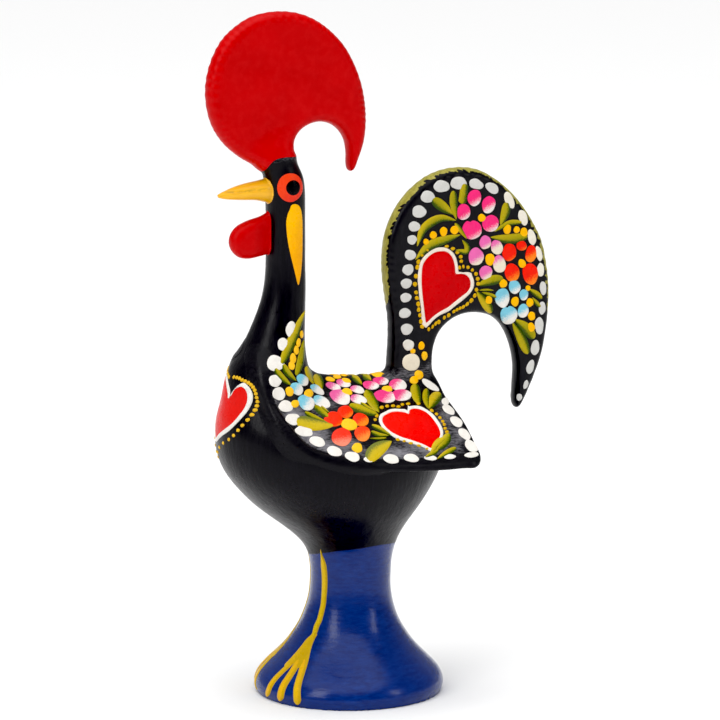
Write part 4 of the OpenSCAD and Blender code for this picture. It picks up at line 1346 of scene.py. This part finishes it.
L.leaves(leaf, [([(560, 548), (650, 350), (766, 82)], 82, "leaf", .8), ([(690, 640), (728, 510), (756, 335)], 62, "leaf", .2), ([(508, 580), (560, 650), (646, 726)], 56),
                ([(576, 545), (620, 620), (688, 688)], 58), ([(775, 560), (800, 630), (836, 712)], 56, "leaf", .8), ([(850, 628), (880, 680), (908, 762)], 80, "leaf", .8)])
R.leaves(leaf, [([(452, 228), (490, 250), (542, 305)], 56, "leaf", .8), ([(548, 218), (580, 235), (622, 268)], 60, "leaf", .9),
                ([(1000, 292), (1010, 370), (1042, 478)], 88, "leaf", .6), ([(1102, 335), (1100, 420), (1118, 505)], 62, "leaf", .5), ([(1225, 375), (1170, 430), (1125, 512)], 100, "leaf", 1.0),
                ([(572, 350), (625, 430), (692, 545)], 92), ([(428, 482), (540, 520), (688, 568)], 84), ([(525, 455), (590, 500), (668, 545)], 34, "leaf", .9),
                ([(122, 485), (180, 530), (262, 605)], 64), ([(182, 488), (215, 520), (255, 552)], 28, "leaf", .9), ([(38, 540), (110, 580), (215, 622)], 46),
                ([(625, 655), (700, 690), (796, 748)], 46, "leaf", 1.0), ([(620, 710), (690, 740), (775, 750)], 42),
                ([(755, 770), (690, 774), (605, 772)], 22, "leaf", .9), 
                ([(1362, 852), (1290, 890), (1196, 950)], 50, "leaf", 1.0)])
R.leaves(leaf, [([(-40, 610), (90, 640), (300, 655)], 122, "leaf", -1.0), ([(590, 965), (660, 880), (802, 795)], 132, "leaf", -1.0)],
         A=(192, 172, 44), B=(112, 118, 48))
R.leaves(leaf, [([(1300, 728), (1262, 800), (1180, 880)], 84, "leaf", 1.2), ([(1262, 772), (1200, 822), (1140, 912)], 84, "leaf", 1.0),
                ([(1205, 870), (1150, 905), (1090, 936)], 46, "leaf", 1.0)], h=0.46)
crop_heart(R, [(757, 560), (800, 541), (860, 535), (920, 544), (953, 556), (957, 553), (955, 532), (968, 516), (990, 508), (1040, 511), (1110, 545), (1170, 608), (1215, 680),
               (1228, 740), (1200, 790), (1153, 858), (1148, 859), (1080, 825), (980, 790), (880, 758), (800, 718), (742, 668), (716, 618), (725, 582)],
           (985, 660), 0.24, (232, 20, 9), (226, 12, 8), WHITE, 2.9)
R.dots(bead, [(716, 500, 20, 15), (763, 488, 19, 13), (815, 485, 20, 13), (862, 492, 20, 12), (896, 473, 17, 12), (945, 466, 20, 12), (1035, 465, 20, 12),
              (1150, 525, 19, 14, 30), (1192, 556, 17, 13, 30), (1222, 588, 16, 14, 40), (1247, 620, 16, 14, 40), (1260, 648, 14, 15), (1268, 682, 16, 14),
              (1283, 712, 18, 15), (672, 575, 18, 14), (658, 608, 16, 13), (855, 780, 20, 13, 15), (912, 792, 17, 12, 10), (970, 810, 22, 13, 10), (1040, 832, 22, 13, 15),
              (1112, 858, 20, 13, 20)], A=BEAD, n=14, rings=(0.6,), h=0.32)

# head: eye ring, pupil and ear
eyes = Paint()
E.dots(eyes, [(343, 465, 126, 142)], A=(232, 66, 30), B=(224, 58, 40), h=0.2, rough=0.015, n=48, dome=0.05)
E.dots(eyes, [(370, 467, 71, 80)], A=(10, 10, 12), h=0.34, rough=0.01, n=36, dome=0.1)
ear = Paint()
ear.disc([(E.x + x / E.k, -(E.y + y / E.k)) for x, y in closed_curve([(385, 628), (425, 640), (448, 680), (460, 760), (464, 850), (465, 1000), (462, 1150), (452, 1280), (438, 1370),
                                                                      (426, 1416), (420, 1416), (400, 1345), (372, 1230), (345, 1120), (322, 1000), (308, 880), (306, 800), (318, 730), (340, 680), (356, 640)], 4)],
         0.3, YEL, (244, 168, 14), centre=(E.x + 392 / E.k, -(E.y + 900 / E.k)), dome=0.1, rings=(0.25, 0.5, 0.75, 0.9, 0.97))

# legs
leg = Paint()
G.leaves(leg, [([(575, 212), (596, 330), (602, 450), (594, 590), (582, 650), (566, 712), (545, 758), (530, 806), (500, 850)], 42, "shin", .6)],
         A=(222, 182, 28), B=(182, 150, 22), n=40)
W = Crop(245, 610, 15.68)
leg.disc([(W.x + x / W.k, -(W.y + y / W.k)) for x, y in closed_curve(
    [(1062, 372), (1132, 376), (1096, 450), (1056, 550), (1030, 650), (1010, 750), (985, 850), (948, 950), (892, 962), (857, 908), (815, 905), (782, 872), (764, 832),
     (716, 866), (640, 896), (618, 864), (704, 764), (804, 652), (884, 556), (964, 452), (1020, 400)], 4)],
         0.3, (222, 180, 34), (196, 160, 26), centre=(W.x + 930 / W.k, -(W.y + 690 / W.k)), dome=0.12, rings=(0.3, 0.6, 0.82, 0.93, 0.98), mid=0.2)
W.leaves(leg, [([(800, 745), (690, 860), (585, 960), (485, 1062), (405, 1172), (362, 1280), (346, 1366)], 82, "toe", .7),
               ([(860, 760), (770, 925), (685, 1060), (612, 1172), (568, 1290), (548, 1432)], 112, "toe", .4),
               ([(950, 760), (912, 900), (880, 1015), (845, 1130), (820, 1250), (818, 1370), (830, 1490)], 120, "toe", .5)], A=(230, 176, 28), B=(192, 154, 22), n=26)

# breast: one heart on the front, set out in mm across and up
breast_heart, breast_band, breast_bead = Paint(), Paint(), Paint()
breast_heart.heart([(a, -z) for a, z in
                    [(2.4, 112.4), (3, 113.6), (4.3, 115.6), (6, 117), (7.8, 117.5), (9.1, 116.8), (10, 115.4), (10.5, 113.6), (10.6, 111.6), (10.2, 109.5), (9.2, 107.2),
                     (8.1, 105.2), (6.5, 103.4), (4.6, 102), (2.3, 100.6), (-1.4, 98.6), (-5.2, 96.3), (-5.5, 96.2), (-7.5, 99.5), (-10, 103), (-12.6, 107), (-14.2, 111),
                     (-14, 115), (-12.4, 118.2), (-9.4, 119.8), (-6.2, 119.6), (-3.4, 118.4), (-0.8, 116.4), (1.1, 114.2), (2, 112.3)]],
                   (-1.5, -108), breast_band, 0.24, (222, 12, 13), (216, 34, 28), ring=(228, 226, 220), wide=1.15)
for a, z in [(-0.9, 119.4), (2.5, 120), (4.1, 120.1), (5.5, 120), (6.8, 119.6), (8.1, 119.3), (9.4, 118.9), (10.5, 118.3), (11.4, 117.5), (12.1, 116.5), (12.6, 115.3),
             (13, 114), (13.4, 112.6), (13.5, 111.1), (13.3, 109.6), (12.9, 107.9), (12.2, 106), (11, 103.9), (9.7, 102), (8, 99.9), (5.7, 98.1), (2, 96.2), (-1.9, 93.9),
             (-5.5, 91.4), (-8.2, 89), (-2.2, 119.8), (-3.8, 120.2), (-5.9, 120.7), (-8, 121), (-10, 121), (-12, 120.6), (-14, 119.6), (-15.7, 118), (-16.9, 116),
             (-17.5, 113.6), (-17.5, 111), (-16.9, 108.4), (-15.7, 105.6), (-14.2, 103), (-12.9, 100.5), (-11.8, 98), (-10.9, 95.5), (-10.2, 93), (-9.4, 90.8)]:
    breast_bead.dot(a, -z, 0.74, 0.66, 0, A=(222, 176, 40), n=14, rings=(0.6,), h=0.32)

leaf.lay("paint_leaves", photo_view, slot="green_enamel")
white.lay("paint_dots_white", photo_view, slot="white_enamel")
petal.lay("paint_petals", photo_view, slot="petal_enamel")
heart.lay("paint_hearts", photo_view, slot="red_enamel")
band.lay("paint_heart_outlines", photo_view, slot="white_enamel")
yellow.lay("paint_dots_yellow", photo_view, slot="yellow_enamel")
bead.lay("paint_beads", photo_view, slot="yellow_enamel")
eyes.lay("paint_eyes", photo_view, slot="red_enamel")
ear.lay("paint_ear_patches", photo_view, slot="yellow_enamel")
leg.lay("paint_legs", photo_view, slot="yellow_enamel", turn=-7)
breast_heart.lay("paint_breast_heart", front_view, False, "red_enamel")
breast_band.lay("paint_breast_outline", front_view, False, "white_enamel")
breast_bead.lay("paint_breast_beads", front_view, False, "yellow_enamel")

# ------------------------------------------------------------------ stage, lights, camera
sc = bpy.context.scene
sc.view_settings.view_transform = "Standard"
sc.view_settings.use_curve_mapping = True
sc.view_settings.curve_mapping.black_level = (0.013, 0.013, 0.0125)
sc.view_settings.curve_mapping.update()
fl = bpy.data.meshes.new("floor")
fl.from_pydata([(-6, -6, 0), (6, -6, 0), (6, 6, 0), (-6, 6, 0)], [], [(0, 1, 2, 3)])
floor = bpy.data.objects.new("floor", fl)
sc.collection.objects.link(floor)
m = Mat("floor_white")
m.set(Base_Color=(0.92, 0.92, 0.92), Roughness=0.9)
m.b.inputs["Specular IOR Level"].default_value = 0.2
fl.materials.append(m.m)

w = bpy.data.worlds.new("studio")
sc.world = w
w.use_nodes = True
w.node_tree.nodes["Background"].inputs[0].default_value = (1, 1, 1, 1)
w.node_tree.nodes["Background"].inputs[1].default_value = 0.36


def softbox(name, at, size, power, aim=(0, 0, 0.13)):
    l = bpy.data.lights.new(name, "AREA")
    l.shape = "RECTANGLE"
    l.size, l.size_y = size
    l.energy = power
    o = bpy.data.objects.new(name, l)
    sc.collection.objects.link(o)
    o.location = at
    o.rotation_euler = (Vector(aim) - Vector(at)).to_track_quat("-Z", "Y").to_euler()
    return o


softbox("top", (0.1, 0.3, 1.6), (0.9, 0.9), 6).visible_glossy = False
softbox("key", (-1.6, -0.7, 1.1), (0.55, 1.0), 8).data.specular_factor = 0.55
softbox("fill", (1.2, -1.6, 0.9), (0.35, 0.9), 4).data.specular_factor = 0.6
for name, power, mirrored in (("room", 1.15, True), ("room_soft", 1.02, False)):
    sun = bpy.data.lights.new(name, "SUN")
    sun.angle = math.radians(70)
    sun.energy = power
    so = bpy.data.objects.new(name, sun)
    so.visible_glossy = mirrored
    sc.collection.objects.link(so)
    so.rotation_euler = (math.radians(12), math.radians(-10), 0)

cam = bpy.data.cameras.new("camera")
cam.sensor_width = 36
cam.lens = FOCAL * 36 / 720
co = bpy.data.objects.new("camera", cam)
sc.collection.objects.link(co)
co.location = Vector(CAM * MM)
co.rotation_euler = Vector((AIM - CAM)).to_track_quat("-Z", "Y").to_euler()
sc.camera = co
